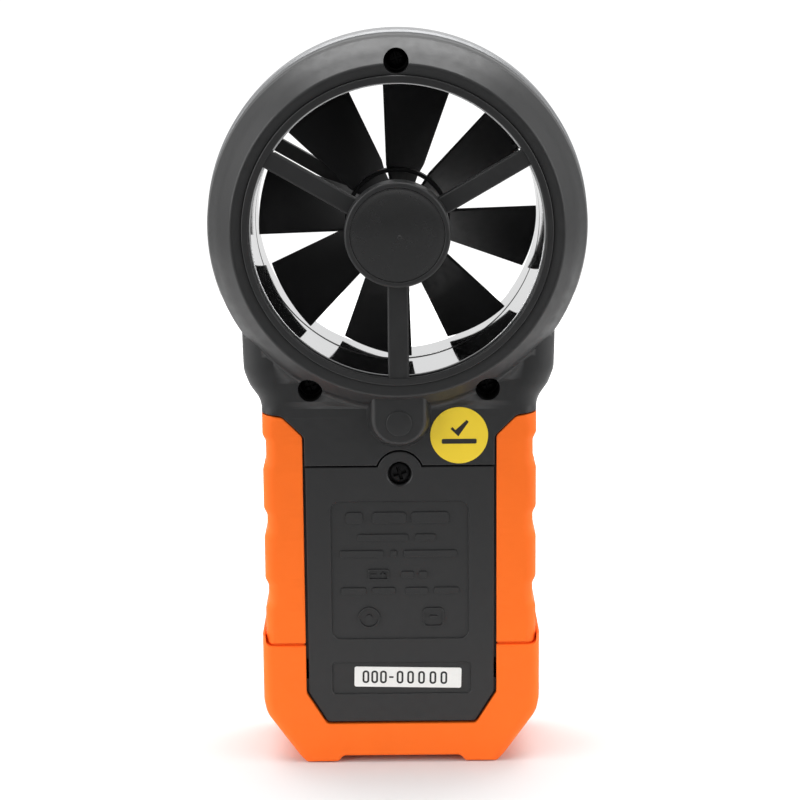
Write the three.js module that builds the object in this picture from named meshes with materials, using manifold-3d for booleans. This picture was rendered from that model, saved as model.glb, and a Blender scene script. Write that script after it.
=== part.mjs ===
// Handheld vane anemometer: a ducted eight-blade vane above a gripped handle with a 9 V battery bay.
// Millimetres. +Z is up, the duct's axis is parallel to Y, the battery door is on the -Y side and
// the display on the +Y side. The feet stand on Z = 0 and X = 0 is the middle plane.
import * as THREE from "three";
import { mergeVertices } from "three/addons/utils/BufferGeometryUtils.js";
import Module from "manifold-3d";

const wasm = await Module();
wasm.setup();

// ---------------------------------------------------------------- driving dimensions
const TOTAL_HEIGHT = 166;
const BAND_RADIUS = 42.5; // silver band, the widest circle of the head
const DUCT_Z = TOTAL_HEIGHT - BAND_RADIUS;
const DUCT_RADIUS = 31.9; // inside of the polished liner
const TIP_RADIUS = 31.2; // blade tips
const BLADE_COUNT = 8;
const HUB_REAR_Y = -19; // rim of the rear hub, the rearmost point
const HEAD_FRONT_Y = 19; // front lip of the head, the foremost point
const SPLIT_Y = 4.55; // where the two housing halves meet
const GAP = 0.3; // general clearance between neighbours
const REAR_FACE_Y = -10.6; // flat rear of neck and door
const TONGUE_REAR_Y = -14.1; // raised tongue that carries the pickup lead into the neck
const FRONT_FACE_Y = 18.2; // flat front of the handle
const NECK_HALF = 34.9;
const HANDLE_HALF = 30.7; // outside of the side grips
const BOOT_HALF = 31.6;
const CORE_HALF = 28.3; // housing beneath the grips
const CORE_REAR_Y = -8.8;
const CORE_FRONT_Y = 15.9;
const WALL = 2;
const GRIP_INNER_X = 21.7; // rear inner edge of the side grips
const GRIP_FRONT_X = 24.4; // front inner edge of the side grips
const SEAM_Z = 28.25; // groove between side grips and bottom boot
const DOOR_HALF = 21.1;
const DOOR_THICKNESS = 1.5;
const DOOR_BOTTOM_Z = 10;
const DOOR_TOP_Z = 69.9;
const DOOR_SCREW_Z = 68.35;
const DOOR_LUG_RADIUS = 5.1;
const BAY = { half: 17.6, z0: 10.8, z1: 66.5, floorY: 9.2 };
const SHAFT_RADIUS = 1;
const SHAFT_BORE = 1.15;
const STRUT_ANGLES = [30, 150, 270];
const ROTOR_REAR_Y = 3.6;
const ROTOR_FRONT_Y = 15.2;
const BLADE_PHASE = -9; // degrees, middle of the first blade
const HEAD_SCREWS = [
  { name: "head_screw_top", x: 0, z: DUCT_Z + 36.8, boss: 3.5, frontBoss: 2.3 },
  { name: "head_screw_left", x: -19.7, z: 87.8, boss: 3.9, frontBoss: 3.2 },
  { name: "head_screw_right", x: 19.7, z: 87.8, boss: 3.9, frontBoss: 3.2 },
];
const CASE_SCREWS = [
  { name: "case_screw_left", x: -22.6, z: 22, boss: 3.3, frontBoss: 2.6 },
  { name: "case_screw_right", x: 22.6, z: 22, boss: 3.3, frontBoss: 2.6 },
];
const KEYS = [
  { name: "key_hold", x: -13, z: 35, a: 4.6, b: 3.2 },
  { name: "key_max_min", x: 0, z: 35, a: 4.6, b: 3.2 },
  { name: "key_unit", x: 13, z: 35, a: 4.6, b: 3.2 },
  { name: "key_light", x: -11, z: 22, a: 4.6, b: 3.2 },
  { name: "key_power", x: 7, z: 22, a: 4.4, b: 4.4 },
];
const RING_SIDES = 48; // facets of the large circles
const KEY_REACH = 0.8; // how far a key stands out of the front face

// ---------------------------------------------------------------- materials
const LOOKS = {
  case: [0x33353a, 0.5, 0],
  guard: [0x2f3135, 0.55, 0],
  cap: [0x2b2d31, 0.5, 0],
  band: [0xd8dadc, 0.3, 0.6],
  liner: [0xdfe1e3, 0.12, 1],
  vane: [0x101113, 0.5, 0],
  steel: [0xb9bcc0, 0.3, 1],
  blackSteel: [0x17181a, 0.35, 0.8],
  brass: [0xb08d43, 0.35, 1],
  magnet: [0x6a6c70, 0.4, 0.9],
  grip: [0xf26a1f, 0.65, 0],
  door: [0x323438, 0.55, 0],
  battery: [0x24344d, 0.35, 0.4],
  snap: [0x1b1c1e, 0.6, 0],
  board: [0x1f5d3a, 0.45, 0],
  display: [0xa9b39c, 0.3, 0],
  window: [0xbcc6cc, 0.08, 0],
  key: [0x55585e, 0.7, 0],
  keyPower: [0xe2611c, 0.7, 0],
  lead: [0x2a2b2d, 0.6, 0],
  yellow: [0xf0cd32, 0.5, 0],
  white: [0xf1f1ee, 0.5, 0],
};

// ---------------------------------------------------------------- solids
// A closed three.js geometry as a solid, turned outwards if it faces in.
function solid(geometry) {
  geometry.deleteAttribute("normal");
  geometry.deleteAttribute("uv");
  const merged = mergeVertices(geometry, 1e-4);
  const tris = new Uint32Array(merged.index.array);
  const pos = new Float32Array(merged.attributes.position.array);
  const a = new THREE.Vector3();
  const b = new THREE.Vector3();
  const c = new THREE.Vector3();
  let volume = 0;
  for (let i = 0; i < tris.length; i += 3) {
    a.fromArray(pos, tris[i] * 3);
    b.fromArray(pos, tris[i + 1] * 3);
    c.fromArray(pos, tris[i + 2] * 3);
    volume += a.dot(b.cross(c));
  }
  if (volume < 0) {
    for (let i = 0; i < tris.length; i += 3) {
      [tris[i + 1], tris[i + 2]] = [tris[i + 2], tris[i + 1]];
    }
  }
  return new wasm.Manifold(
    new wasm.Mesh({ numProp: 3, vertProperties: pos, triVerts: tris }),
  );
}

function box(x0, x1, y0, y1, z0, z1) {
  const g = new THREE.BoxGeometry(x1 - x0, y1 - y0, z1 - z0);
  g.translate((x0 + x1) / 2, (y0 + y1) / 2, (z0 + z1) / 2);
  return solid(g);
}

// Turns a closed profile of [radius, y] about an axis parallel to Y through (x, z).
function revolve(profile, segments, x = 0, z = 0) {
  const points = profile.map(([r, y]) => new THREE.Vector2(r, y));
  const onAxis = profile[0][0] === 0 && profile[profile.length - 1][0] === 0;
  if (!onAxis) points.push(points[0].clone());
  const g = new THREE.LatheGeometry(points, segments);
  g.translate(x, 0, z);
  return solid(g);
}

function rod(radius, y0, y1, x, z, segments = 24) {
  return revolve([[0, y0], [radius, y0], [radius, y1], [0, y1]], segments, x, z);
}

// A flat outline in X and Z, thickened from y0 to y1; bevel rounds both ends and keeps the outline.
function slab(outline, y0, y1, bevel = 0, steps = 3, arcSides = 3) {
  const shape = Array.isArray(outline) ? shapeOf(outline) : outline;
  const g = new THREE.ExtrudeGeometry(shape, {
    depth: y1 - y0 - 2 * bevel,
    bevelEnabled: bevel > 0,
    bevelThickness: bevel,
    bevelSize: bevel,
    bevelOffset: -bevel,
    bevelSegments: steps,
    curveSegments: arcSides,
  });
  g.rotateX(Math.PI / 2);
  g.translate(0, y1 - bevel, 0);
  return solid(g);
}

function shapeOf(points) {
  return new THREE.Shape(points.map(([x, z]) => new THREE.Vector2(x, z)));
}

function roundedRect(x0, x1, z0, z1, r) {
  const s = new THREE.Shape();
  s.moveTo(x0 + r, z0);
  s.lineTo(x1 - r, z0);
  s.absarc(x1 - r, z0 + r, r, -Math.PI / 2, 0);
  s.lineTo(x1, z1 - r);
  s.absarc(x1 - r, z1 - r, r, 0, Math.PI / 2);
  s.lineTo(x0 + r, z1);
  s.absarc(x0 + r, z1 - r, r, Math.PI / 2, Math.PI);
  s.lineTo(x0, z0 + r);
  s.absarc(x0 + r, z0 + r, r, Math.PI, 1.5 * Math.PI);
  return s;
}

function ellipse(x, z, a, b) {
  const s = new THREE.Shape();
  s.absellipse(x, z, a, b, 0, 2 * Math.PI, false, 0);
  return s;
}

// A right-hand half outline, listed from top to bottom, closed with its mirror image.
function mirrored(half) {
  const left = half
    .map(([x, z]) => [-x, z])
    .filter(([x]) => x !== 0)
    .reverse();
  return half.concat(left);
}

// A round lead of one radius along a smooth route.
function lead(route, radius, steps) {
  const curve = new THREE.CatmullRomCurve3(
    route.map((p) => new THREE.Vector3(...p)),
    false,
    "centripetal",
  );
  const ring = new THREE.Shape();
  ring.absarc(0, 0, radius, 0, 2 * Math.PI);
  return solid(
    new THREE.ExtrudeGeometry(ring, {
      steps,
      bevelEnabled: false,
      extrudePath: curve,
      curveSegments: 4,
    }),
  );
}

function all(solids) {
  return solids.reduce((sum, s) => sum.add(s));
}

// A bar reaching out from the duct's axis at an angle in degrees, seen from the rear.
function spoke(angle, r0, r1, width, y0, y1) {
  const g = new THREE.BoxGeometry(r1 - r0, y1 - y0, width);
  g.translate((r0 + r1) / 2, (y0 + y1) / 2, 0);
  g.rotateY(-THREE.MathUtils.degToRad(angle));
  g.translate(0, 0, DUCT_Z);
  return solid(g);
}

const group = new THREE.Group();
group.name = "vane_anemometer";

function place(name, look, shape) {
  const out = shape.getMesh();
  const g = new THREE.BufferGeometry();
  g.setAttribute("position", new THREE.BufferAttribute(new Float32Array(out.vertProperties), 3));
  g.setIndex(new THREE.BufferAttribute(new Uint32Array(out.triVerts), 1));
  g.computeVertexNormals();
  const [color, roughness, metalness] = LOOKS[look];
  const mesh = new THREE.Mesh(
    g,
    new THREE.MeshStandardMaterial({ color, roughness, metalness }),
  );
  mesh.name = name;
  group.add(mesh);
}

// ---------------------------------------------------------------- outlines seen from the rear
// Outside of neck and handle, side grips included.
const caseOutline = mirrored([
  [NECK_HALF, 105],
  [34.7, 93.4],
  [34.3, 90.4],
  [33.4, 88.5],
  [31.3, 85.7],
  [30.8, 84.3],
  [HANDLE_HALF, 82.3],
  [HANDLE_HALF, 8],
]);
// The part of it that the dark housing shows: down to the grips' top edges and the battery door.
const lugArc = [];
for (let i = 0; i <= 12; i++) {
  const reach = DOOR_LUG_RADIUS + 0.4;
  const low = Math.asin((DOOR_TOP_Z + 0.35 - DOOR_SCREW_Z) / reach);
  const t = low + ((Math.PI - 2 * low) * i) / 12;
  lugArc.push([reach * Math.cos(t), DOOR_SCREW_Z + reach * Math.sin(t)]);
}
const neckOutline = [
  [-40, 106],
  [-40, 82.35],
  [-30.5, 82.3],
  [-26.2, 81.7],
  [-21.3, 76.9],
  [-21.3, DOOR_TOP_Z + 0.35],
  ...lugArc.slice().reverse(),
  [21.3, DOOR_TOP_Z + 0.35],
  [21.3, 76.9],
  [26.2, 81.7],
  [30.5, 82.3],
  [40, 82.35],
  [40, 106],
];
// The housing beneath the grips and the boot, grown or shrunk by d.
function coreOutline(d) {
  return mirrored([
    [CORE_HALF + d, 86],
    [CORE_HALF + d, 16.8 - 0.4 * d],
    [27.6 + d, 13.6 - 0.4 * d],
    [18.4 + 0.4 * d, 4 - d],
  ]);
}
const bootOutline = mirrored([
  [BOOT_HALF, 36],
  [BOOT_HALF, 15.3],
  [31.2, 13.3],
  [30.5, 11],
  [22.9, 0.6],
  [21.8, 0],
  [14.6, 0],
  [13.6, 1.6],
]);

// ---------------------------------------------------------------- shared volumes
const handleBody = slab(caseOutline, REAR_FACE_Y, FRONT_FACE_Y, 2.6, 4);
// The boot's sides are well rounded, its bottom edges only a little.
const bootSides = slab(
  mirrored([[BOOT_HALF, 36], [BOOT_HALF, 15.3], [31.2, 13.3], [30.5, 11], [20.4, -3], [10, -3]]),
  REAR_FACE_Y - 0.3,
  FRONT_FACE_Y + 0.3,
  2.6,
  4,
);
const bootBody = bootSides.intersect(
  slab(bootOutline, REAR_FACE_Y - 0.3, FRONT_FACE_Y + 0.3, 0.9, 2),
);
const coreBody = slab(coreOutline(0), CORE_REAR_Y, CORE_FRONT_Y, 2, 3);
const coreRoom = slab(coreOutline(GAP), CORE_REAR_Y - GAP, CORE_FRONT_Y + GAP, 2, 3);
// Room for the head band above the neck.
const bandRoom = revolve([[39.2, 0.9], [45, 0.9], [45, 11.3], [39.2, 11.3]], RING_SIDES, 0, DUCT_Z)
  .intersect(box(-60, 60, 0, 20, 100.3, 180));
const rearHalf = box(-60, 60, -40, SPLIT_Y - 0.15, -5, 180);
const frontHalf = box(-60, 60, SPLIT_Y + 0.15, 40, -5, 180);
const ductWell = rod(34.8, -30, 30, 0, DUCT_Z, RING_SIDES);
const ductBore = rod(33.2, -30, 30, 0, DUCT_Z, RING_SIDES);
const neckCavity = slab(
  mirrored([[32.4, 99], [32.4, 91.5], [29.4, 86.5], [26.3, 82], [18, 78], [18, 66]]),
  REAR_FACE_Y + WALL,
  FRONT_FACE_Y - WALL,
);
const coreCavity = slab(coreOutline(-WALL), CORE_REAR_Y + WALL, CORE_FRONT_Y - WALL);
const caseCavity = all([neckCavity, coreCavity]).subtract(ductWell);

// ---------------------------------------------------------------- rear housing
const bay = box(-BAY.half, BAY.half, -20, BAY.floorY, BAY.z0, BAY.z1);
const bayTub = box(
  -BAY.half - 1.2,
  BAY.half + 1.2,
  CORE_REAR_Y + 1,
  BAY.floorY + 1.2,
  BAY.z0 - 1.2,
  BAY.z1 + 1.2,
);

function rearHousing() {
  const ring = revolve(
    [
      [33.2, -13.6],
      [34, -13.6],
      [34, -14.9],
      [35.7, -15.1],
      [36.3, -15.4],
      [36.9, -15.1],
      [41.4, -8.6],
      [41.8, -7.6],
      [41.8, 0.9],
      [39.2, 0.9],
      [39.2, SPLIT_Y - 0.15],
      [37.8, SPLIT_Y - 0.15],
      [37.8, -7],
      [36.2, -12.4],
      [34.8, -12.4],
      [34.8, SPLIT_Y - 0.15],
      [33.2, SPLIT_Y - 0.15],
    ],
    RING_SIDES,
    0,
    DUCT_Z,
  );
  const neck = handleBody.intersect(slab(neckOutline, -30, 30)).subtract(ductBore);
  let body = neck.add(coreBody).intersect(rearHalf).subtract(caseCavity);
  body = body.subtract(rod(34.6, -30, 30, 0, DUCT_Z, RING_SIDES)).add(ring);
  body = body.subtract(
    neckCavity.subtract(ductWell).intersect(box(-40, 40, REAR_FACE_Y + WALL, 30, 60, 99)),
  );
  body = body.subtract(bandRoom);
  // Raised tongue below the ring, with a low round boss on it.
  const tongue = roundedRect(-7.1, 7.1, 74.6, 96, 7);
  body = body.add(slab(tongue, TONGUE_REAR_Y, REAR_FACE_Y + 1, 1.4, 3, 5).subtract(ductWell));
  body = body.add(rod(2.9, TONGUE_REAR_Y - 0.2, REAR_FACE_Y + 1, 0, 80.75));
  // Battery bay with its locating ribs.
  body = body.add(bayTub).subtract(bay);
  for (const side of [-1, 1]) {
    for (const z of [26, 48]) {
      const x0 = side * 13.5;
      const x1 = side * (BAY.half + 0.5);
      body = body.add(
        box(Math.min(x0, x1), Math.max(x0, x1), -3.4, BAY.floorY + 0.5, z, z + 1.6),
      );
    }
    const slot = [side * 14.5, side * 17.1].sort((p, q) => p - q);
    body = body.subtract(box(slot[0], slot[1], CORE_REAR_Y + WALL, -4.8, 8.9, 11));
  }
  // Pocket and screw hole for the door's lug, and the passage for the battery leads.
  body = body.add(rod(3.4, -7.8, -4.6, 0, DOOR_SCREW_Z + 0.6));
  body = body.subtract(rod(DOOR_LUG_RADIUS + 0.4, -13, -7.9, 0, DOOR_SCREW_Z, 32));
  body = body.subtract(rod(1.6, -20, -5.3, 0, DOOR_SCREW_Z));
  body = body.subtract(box(-3.4, 3.4, -1.8, 2.2, BAY.z1 - 1, BAY.z1 + 2));
  // Screw wells.
  for (const s of [...HEAD_SCREWS, ...CASE_SCREWS]) {
    const top = s.z > 120 ? 0.9 : SPLIT_Y - 0.15;
    const start = s.z > 120 ? -8 : s.z > 80 ? REAR_FACE_Y + 1.2 : CORE_REAR_Y + 0.6;
    body = body.add(rod(s.boss, start, top, s.x, s.z, 20));
    body = body.subtract(rod(2.75, -20, -3.6, s.x, s.z));
    body = body.subtract(rod(1.45, -20, 10, s.x, s.z, 16));
  }
  // Channel for the pickup lead, from the bottom strut into the neck.
  body = body.subtract(ductBore.intersect(box(-50, 50, -13.6, 30, 60, 180)));
  body = body.subtract(box(-1.1, 1.1, -13.6, -8, 83.4, DUCT_Z - 31));
  return body;
}
place("rear_housing", "case", rearHousing());

// ---------------------------------------------------------------- front housing
const WINDOW = { half: 19, z0: 45, z1: 77 };

function frontHousing() {
  const ring = revolve(
    [
      [33.2, SPLIT_Y + 0.15],
      [34.8, SPLIT_Y + 0.15],
      [34.8, 15],
      [37.8, 15],
      [37.8, SPLIT_Y + 0.15],
      [39.2, SPLIT_Y + 0.15],
      [39.2, 11.3],
      [42, 11.3],
      [42, 14],
      [41.2, 15.8],
      [39.4, 17.6],
      [37.2, 18.7],
      [35.8, HEAD_FRONT_Y],
      [34, 18.9],
      [34, 17.3],
      [33.2, 17.3],
    ],
    RING_SIDES,
    0,
    DUCT_Z,
  );
  const frontFace = slab(
    [
      [-40, 106], [-40, 82.35], [-30.5, 82.3], [-27.8, 81.7], [-24, 78], [-24, SEAM_Z],
      [-24, 17], [-18, 8.5], [18, 8.5], [24, 17], [24, 78], [27.8, 81.7], [30.5, 82.3],
      [40, 82.35], [40, 106],
    ],
    -30,
    30,
  );
  const face = handleBody.intersect(frontFace);
  const roomy = slab(
    mirrored([[22, 84], [22, 18], [17, 11]]),
    0,
    FRONT_FACE_Y - WALL,
  );
  let body = face.add(coreBody).intersect(frontHalf);
  body = body.subtract(caseCavity).subtract(roomy.subtract(ductWell));
  body = body.subtract(rod(34.6, -30, 30, 0, DUCT_Z, RING_SIDES)).add(ring);
  body = body.subtract(
    neckCavity.subtract(ductWell).intersect(box(-40, 40, 0, FRONT_FACE_Y - WALL, 60, 99)),
  );
  body = body.subtract(bandRoom);
  // Display window: a ledge holds the clear window, and a smaller opening shows the glass.
  const seat = roundedRect(
    -WINDOW.half - GAP,
    WINDOW.half + GAP,
    WINDOW.z0 - GAP,
    WINDOW.z1 + GAP,
    2.3,
  );
  body = body.subtract(slab(seat, 16.8, 30));
  body = body.subtract(slab(roundedRect(-15.6, 15.6, 49, 73, 1.5), 10, 30));
  for (const key of KEYS) {
    body = body.subtract(slab(ellipse(key.x, key.z, key.a + 0.35, key.b + 0.35), 10, 30, 0, 0, 12));
  }
  for (const s of [...HEAD_SCREWS, ...CASE_SCREWS]) {
    const end = s.z > 120 ? 15 : s.z > 80 ? 17.2 : 15.2;
    body = body.add(rod(s.frontBoss, SPLIT_Y + 0.15, end, s.x, s.z, 20));
    body = body.subtract(rod(1.4, 0, 12.9, s.x, s.z, 16));
  }
  // Posts that carry the circuit board.
  for (const [x, z] of [[-15, 12.5], [15, 12.5], [-15, 79], [15, 79]]) {
    body = body.add(rod(1.7, 13.3, FRONT_FACE_Y - 1, x, z, 16));
  }
  return body.subtract(ductBore.intersect(box(-50, 50, -10, 17.3, 60, 180)));
}
place("front_housing", "case", frontHousing());

// ---------------------------------------------------------------- head trim and duct
place(
  "head_band",
  "band",
  revolve(
    [
      [39.5, 1.2],
      [41.9, 1.2],
      [BAND_RADIUS, 1.9],
      [BAND_RADIUS, 10.3],
      [41.9, 11],
      [39.5, 11],
    ],
    64,
    0,
    DUCT_Z,
  ).subtract(box(-60, 60, -20, 30, 60, 100.4)),
);

const linerRear = revolve(
  [[DUCT_RADIUS, -13.3], [32.9, -13.3], [32.9, SPLIT_Y - 0.15], [DUCT_RADIUS, SPLIT_Y - 0.15]],
  64,
  0,
  DUCT_Z,
).subtract(box(-1.2, 1.2, -14, -10, DUCT_Z - 40, DUCT_Z - 28));
place("liner_rear", "liner", linerRear);
place(
  "liner_front",
  "liner",
  revolve(
    [[DUCT_RADIUS, SPLIT_Y + 0.15], [32.9, SPLIT_Y + 0.15], [32.9, 17], [DUCT_RADIUS, 17]],
    64,
    0,
    DUCT_Z,
  ),
);

// Rear guard: rim ring, three struts and a hub that carries the rear bearing and the pickup.
const rimProfile = (y0, y1) => [[32.3, y0], [33.7, y0], [33.7, y1], [32.3, y1]];
let rearGuard = revolve(rimProfile(-15.4, -13.9), RING_SIDES, 0, DUCT_Z);
for (const angle of STRUT_ANGLES) {
  const width = angle === 270 ? 4.6 : 4;
  rearGuard = rearGuard.add(spoke(angle, 8, 31.6, width, -15, -10));
  rearGuard = rearGuard.add(spoke(angle, 30, 33, width, -15, -13.9));
}
rearGuard = rearGuard.add(
  revolve(
    [
      [2.6, -16],
      [10.9, HUB_REAR_Y],
      [11.4, -18.7],
      [11.6, -18],
      [11.6, -14.6],
      [10.4, -13],
      [9.6, -11.6],
      [9.2, -10],
      [6.2, -9.4],
      [5.2, -8.4],
      [4.6, 1.2],
      [2.6, 1.2],
    ],
    40,
    0,
    DUCT_Z,
  ),
);
rearGuard = rearGuard.subtract(rod(10.3, -25, -15.5, 0, DUCT_Z, 40));
rearGuard = rearGuard.subtract(rod(8.6, -25, -12.4, 0, DUCT_Z, 40));
rearGuard = rearGuard.subtract(rod(3.3, -2.2, 5, 0, DUCT_Z, 32));
rearGuard = rearGuard.subtract(rod(1.7, -30, 5, 0, DUCT_Z, 32));
rearGuard = rearGuard.subtract(box(-1, 1, -13.8, -9, DUCT_Z - 32, DUCT_Z - 6.8));
place("rear_guard", "guard", rearGuard);

const dish = [[0, -17.3], [9.95, -17.3], [9.95, -18.6], [9.4, -18.6]];
for (let i = 1; i <= 4; i++) {
  const r = 9.2 * (1 - i / 4);
  dish.push([r, -17.75 - 0.75 * (r / 9.2) ** 2]);
}
place("rear_hub_cap", "cap", revolve(dish, 32, 0, DUCT_Z));

const pickup = rod(9.9, -16.9, -15.8, 0, DUCT_Z, 40).add(
  box(-2, 2, -16, -15.1, DUCT_Z - 1.5, DUCT_Z + 1.5),
);
place("pickup_board", "board", pickup);
place("pickup_magnet", "magnet", rod(2.6, -14.7, -13.2, 0, DUCT_Z));
place(
  "pickup_lead",
  "lead",
  lead(
    [
      [0, -15.5, DUCT_Z - 7.3],
      [0, -14.2, DUCT_Z - 7.5],
      [0, -13, DUCT_Z - 8.8],
      [0, -12.8, DUCT_Z - 12],
      [0, -12.8, DUCT_Z - 22],
      [0, -12.8, DUCT_Z - 31],
      [0, -12.3, DUCT_Z - 35.4],
      [0, -9.2, DUCT_Z - 38.6],
      [0, -3, DUCT_Z - 42.6],
      [0, 10.9, DUCT_Z - 44.4],
    ],
    0.6,
    26,
  ),
);
const ringBearing = (outer, y0, y1) =>
  revolve([[SHAFT_BORE, y0], [outer, y0], [outer, y1], [SHAFT_BORE, y1]], 32, 0, DUCT_Z);
place("rear_bearing", "brass", ringBearing(3, -1.9, 1));
place("front_bearing", "brass", ringBearing(2.6, 16.6, 17.9));

// Front guard: the same three directions, slimmer struts, a small hub with a blind bearing seat.
let frontGuard = revolve(rimProfile(17.6, 18.9), RING_SIDES, 0, DUCT_Z);
for (const angle of STRUT_ANGLES) {
  frontGuard = frontGuard.add(spoke(angle, 3, 31.5, 3.2, 16.5, 18.7));
  frontGuard = frontGuard.add(spoke(angle, 30, 33, 3.2, 17.6, 18.7));
}
frontGuard = frontGuard.add(
  revolve([[0, 16.4], [6, 16.4], [6, 17.8], [5.2, 18.8], [0, 18.8]], 32, 0, DUCT_Z),
);
frontGuard = frontGuard.subtract(rod(2.9, 10, 18.1, 0, DUCT_Z, 32));
place("front_guard", "guard", frontGuard);

// ---------------------------------------------------------------- impeller
// A blade is a twisted plate: straight leading and trailing edges that spread apart with radius.
function blade(angle) {
  const sections = 7;
  const half = 0.42;
  const pos = [];
  const index = [];
  for (let i = 0; i < sections; i++) {
    const u = 4 + (29 * i) / (sections - 1);
    const w = 2.3 + 0.18 * u;
    const chord = new THREE.Vector2(-2 * w, ROTOR_FRONT_Y - ROTOR_REAR_Y).normalize();
    const nt = chord.y * half;
    const ny = -chord.x * half;
    pos.push(u, ROTOR_REAR_Y + ny, w + nt);
    pos.push(u, ROTOR_REAR_Y - ny, w - nt);
    pos.push(u, ROTOR_FRONT_Y - ny, -w - nt);
    pos.push(u, ROTOR_FRONT_Y + ny, -w + nt);
  }
  const quad = (a, b, c, d) => index.push(a, b, c, a, c, d);
  for (let i = 0; i < sections - 1; i++) {
    for (let k = 0; k < 4; k++) {
      const n = (k + 1) % 4;
      quad(i * 4 + k, i * 4 + n, (i + 1) * 4 + n, (i + 1) * 4 + k);
    }
  }
  const last = (sections - 1) * 4;
  quad(3, 2, 1, 0);
  quad(last, last + 1, last + 2, last + 3);
  const g = new THREE.BufferGeometry();
  g.setAttribute("position", new THREE.BufferAttribute(new Float32Array(pos), 3));
  g.setIndex(index);
  g.rotateY(-THREE.MathUtils.degToRad(angle));
  g.translate(0, 0, DUCT_Z);
  return solid(g);
}

let vane = revolve(
  [
    [SHAFT_BORE, ROTOR_REAR_Y - 0.2],
    [5.4, ROTOR_REAR_Y - 0.2],
    [6.4, ROTOR_REAR_Y + 1],
    [6.4, ROTOR_FRONT_Y - 0.6],
    [5.6, ROTOR_FRONT_Y + 0.3],
    [SHAFT_BORE, ROTOR_FRONT_Y + 0.3],
  ],
  32,
  0,
  DUCT_Z,
);
for (let i = 0; i < BLADE_COUNT; i++) {
  vane = vane.add(blade(BLADE_PHASE + (360 / BLADE_COUNT) * i));
}
vane = vane.add(
  revolve([[10.9, 3.3], [11.8, 3.3], [11.8, 6], [10.9, 6]], 48, 0, DUCT_Z),
);
vane = vane.intersect(rod(TIP_RADIUS, 0, 20, 0, DUCT_Z, 64));
vane = vane.subtract(rod(SHAFT_BORE, 0, 20, 0, DUCT_Z, 32));
place("vane", "vane", vane);
place("shaft", "steel", rod(SHAFT_RADIUS, -12.9, 17.7, 0, DUCT_Z, 32));

// ---------------------------------------------------------------- side grips and boot
function grip(side) {
  const x = (v) => side * v;
  const rearWrap = slab(
    [[x(GRIP_INNER_X), SEAM_Z + 0.3], [x(29.2), SEAM_Z + 0.3], [x(31), 30.7], [x(40), 30.7],
      [x(40), 82], [x(30.5), 81.95], [x(26.05), 81.35], [x(GRIP_INNER_X), 77]],
    -30,
    0,
  );
  const frontWrap = slab(
    [[x(GRIP_FRONT_X), SEAM_Z + 0.3], [x(29.2), SEAM_Z + 0.3], [x(31), 30.7], [x(40), 30.7],
      [x(40), 82], [x(30.5), 81.95], [x(27.9), 81.35], [x(GRIP_FRONT_X), 77.8]],
    0,
    30,
  );
  let body = handleBody.intersect(rearWrap.add(frontWrap)).subtract(coreRoom);
  body = body.intersect(side > 0 ? box(20, 60, -30, 30, 20, 90) : box(-60, -20, -30, 30, 20, 90));
  // Shallow thumb scallops along the side.
  for (const [low, high] of [[70.8, 75.8], [54.9, 58.7], [38.2, 42.2]]) {
    body = body.subtract(
      slab([[x(30), low], [x(30), high], [x(31.6), high + 1.6], [x(31.6), low - 1.6]], -30, 30),
    );
  }
  return body;
}
place("left_grip", "grip", grip(-1));
place("right_grip", "grip", grip(1));

function boot() {
  // Everything below the seam, which turns up at the sides.
  const below = slab(mirrored([[29.4, SEAM_Z - 0.3], [31.2, 30.3], [40, 30.3], [40, -5]]), -30, 30);
  const doorWindow = slab(
    [[-GRIP_INNER_X, 40], [-GRIP_INNER_X, 16.7], [-17.05, 9.4], [17.05, 9.4],
      [GRIP_INNER_X, 16.7], [GRIP_INNER_X, 40]],
    -30,
    0,
  );
  const faceWindow = slab(
    [[-GRIP_FRONT_X, 40], [-GRIP_FRONT_X, 16.8], [-18.3, 8.1], [18.3, 8.1],
      [GRIP_FRONT_X, 16.8], [GRIP_FRONT_X, 40]],
    0,
    30,
  );
  return bootBody
    .intersect(below)
    .subtract(coreRoom)
    .subtract(doorWindow)
    .subtract(faceWindow);
}
place("bottom_boot", "grip", boot());

// ---------------------------------------------------------------- battery door
function batteryDoor() {
  const plate = slab(
    mirrored([
      [DOOR_HALF, DOOR_TOP_Z],
      [DOOR_HALF, 16.9],
      [16.75, DOOR_BOTTOM_Z],
    ]),
    REAR_FACE_Y,
    REAR_FACE_Y + DOOR_THICKNESS,
  );
  let body = plate.add(rod(DOOR_LUG_RADIUS, REAR_FACE_Y, -8.2, 0, DOOR_SCREW_Z, 40));
  body = body.subtract(box(-8, 8, REAR_FACE_Y + DOOR_THICKNESS, -2, 50, BAY.z1 + 0.1));
  body = body.subtract(slab(roundedRect(-15.6, 15.4, 29.6, 61.9, 2), -20, REAR_FACE_Y + 0.4));
  body = body.subtract(slab(roundedRect(-15.7, 15.9, 16.4, 23.9, 0.8), -20, REAR_FACE_Y + 0.4));
  body = body.subtract(rod(2.7, -20, -8.8, 0, DOOR_SCREW_Z, 32));
  body = body.subtract(rod(1.5, -20, 0, 0, DOOR_SCREW_Z));
  // Two hooks at the bottom edge reach behind the housing's sill.
  for (const side of [-1, 1]) {
    const [x0, x1] = [side * 14.8, side * 16.8].sort((p, q) => p - q);
    body = body.add(box(x0, x1, REAR_FACE_Y + 1, -5.3, 11.2, 12.4));
    body = body.add(box(x0, x1, -6.4, -5.3, 9.5, 12.4));
  }
  return body;
}
place("battery_door", "door", batteryDoor());

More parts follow.
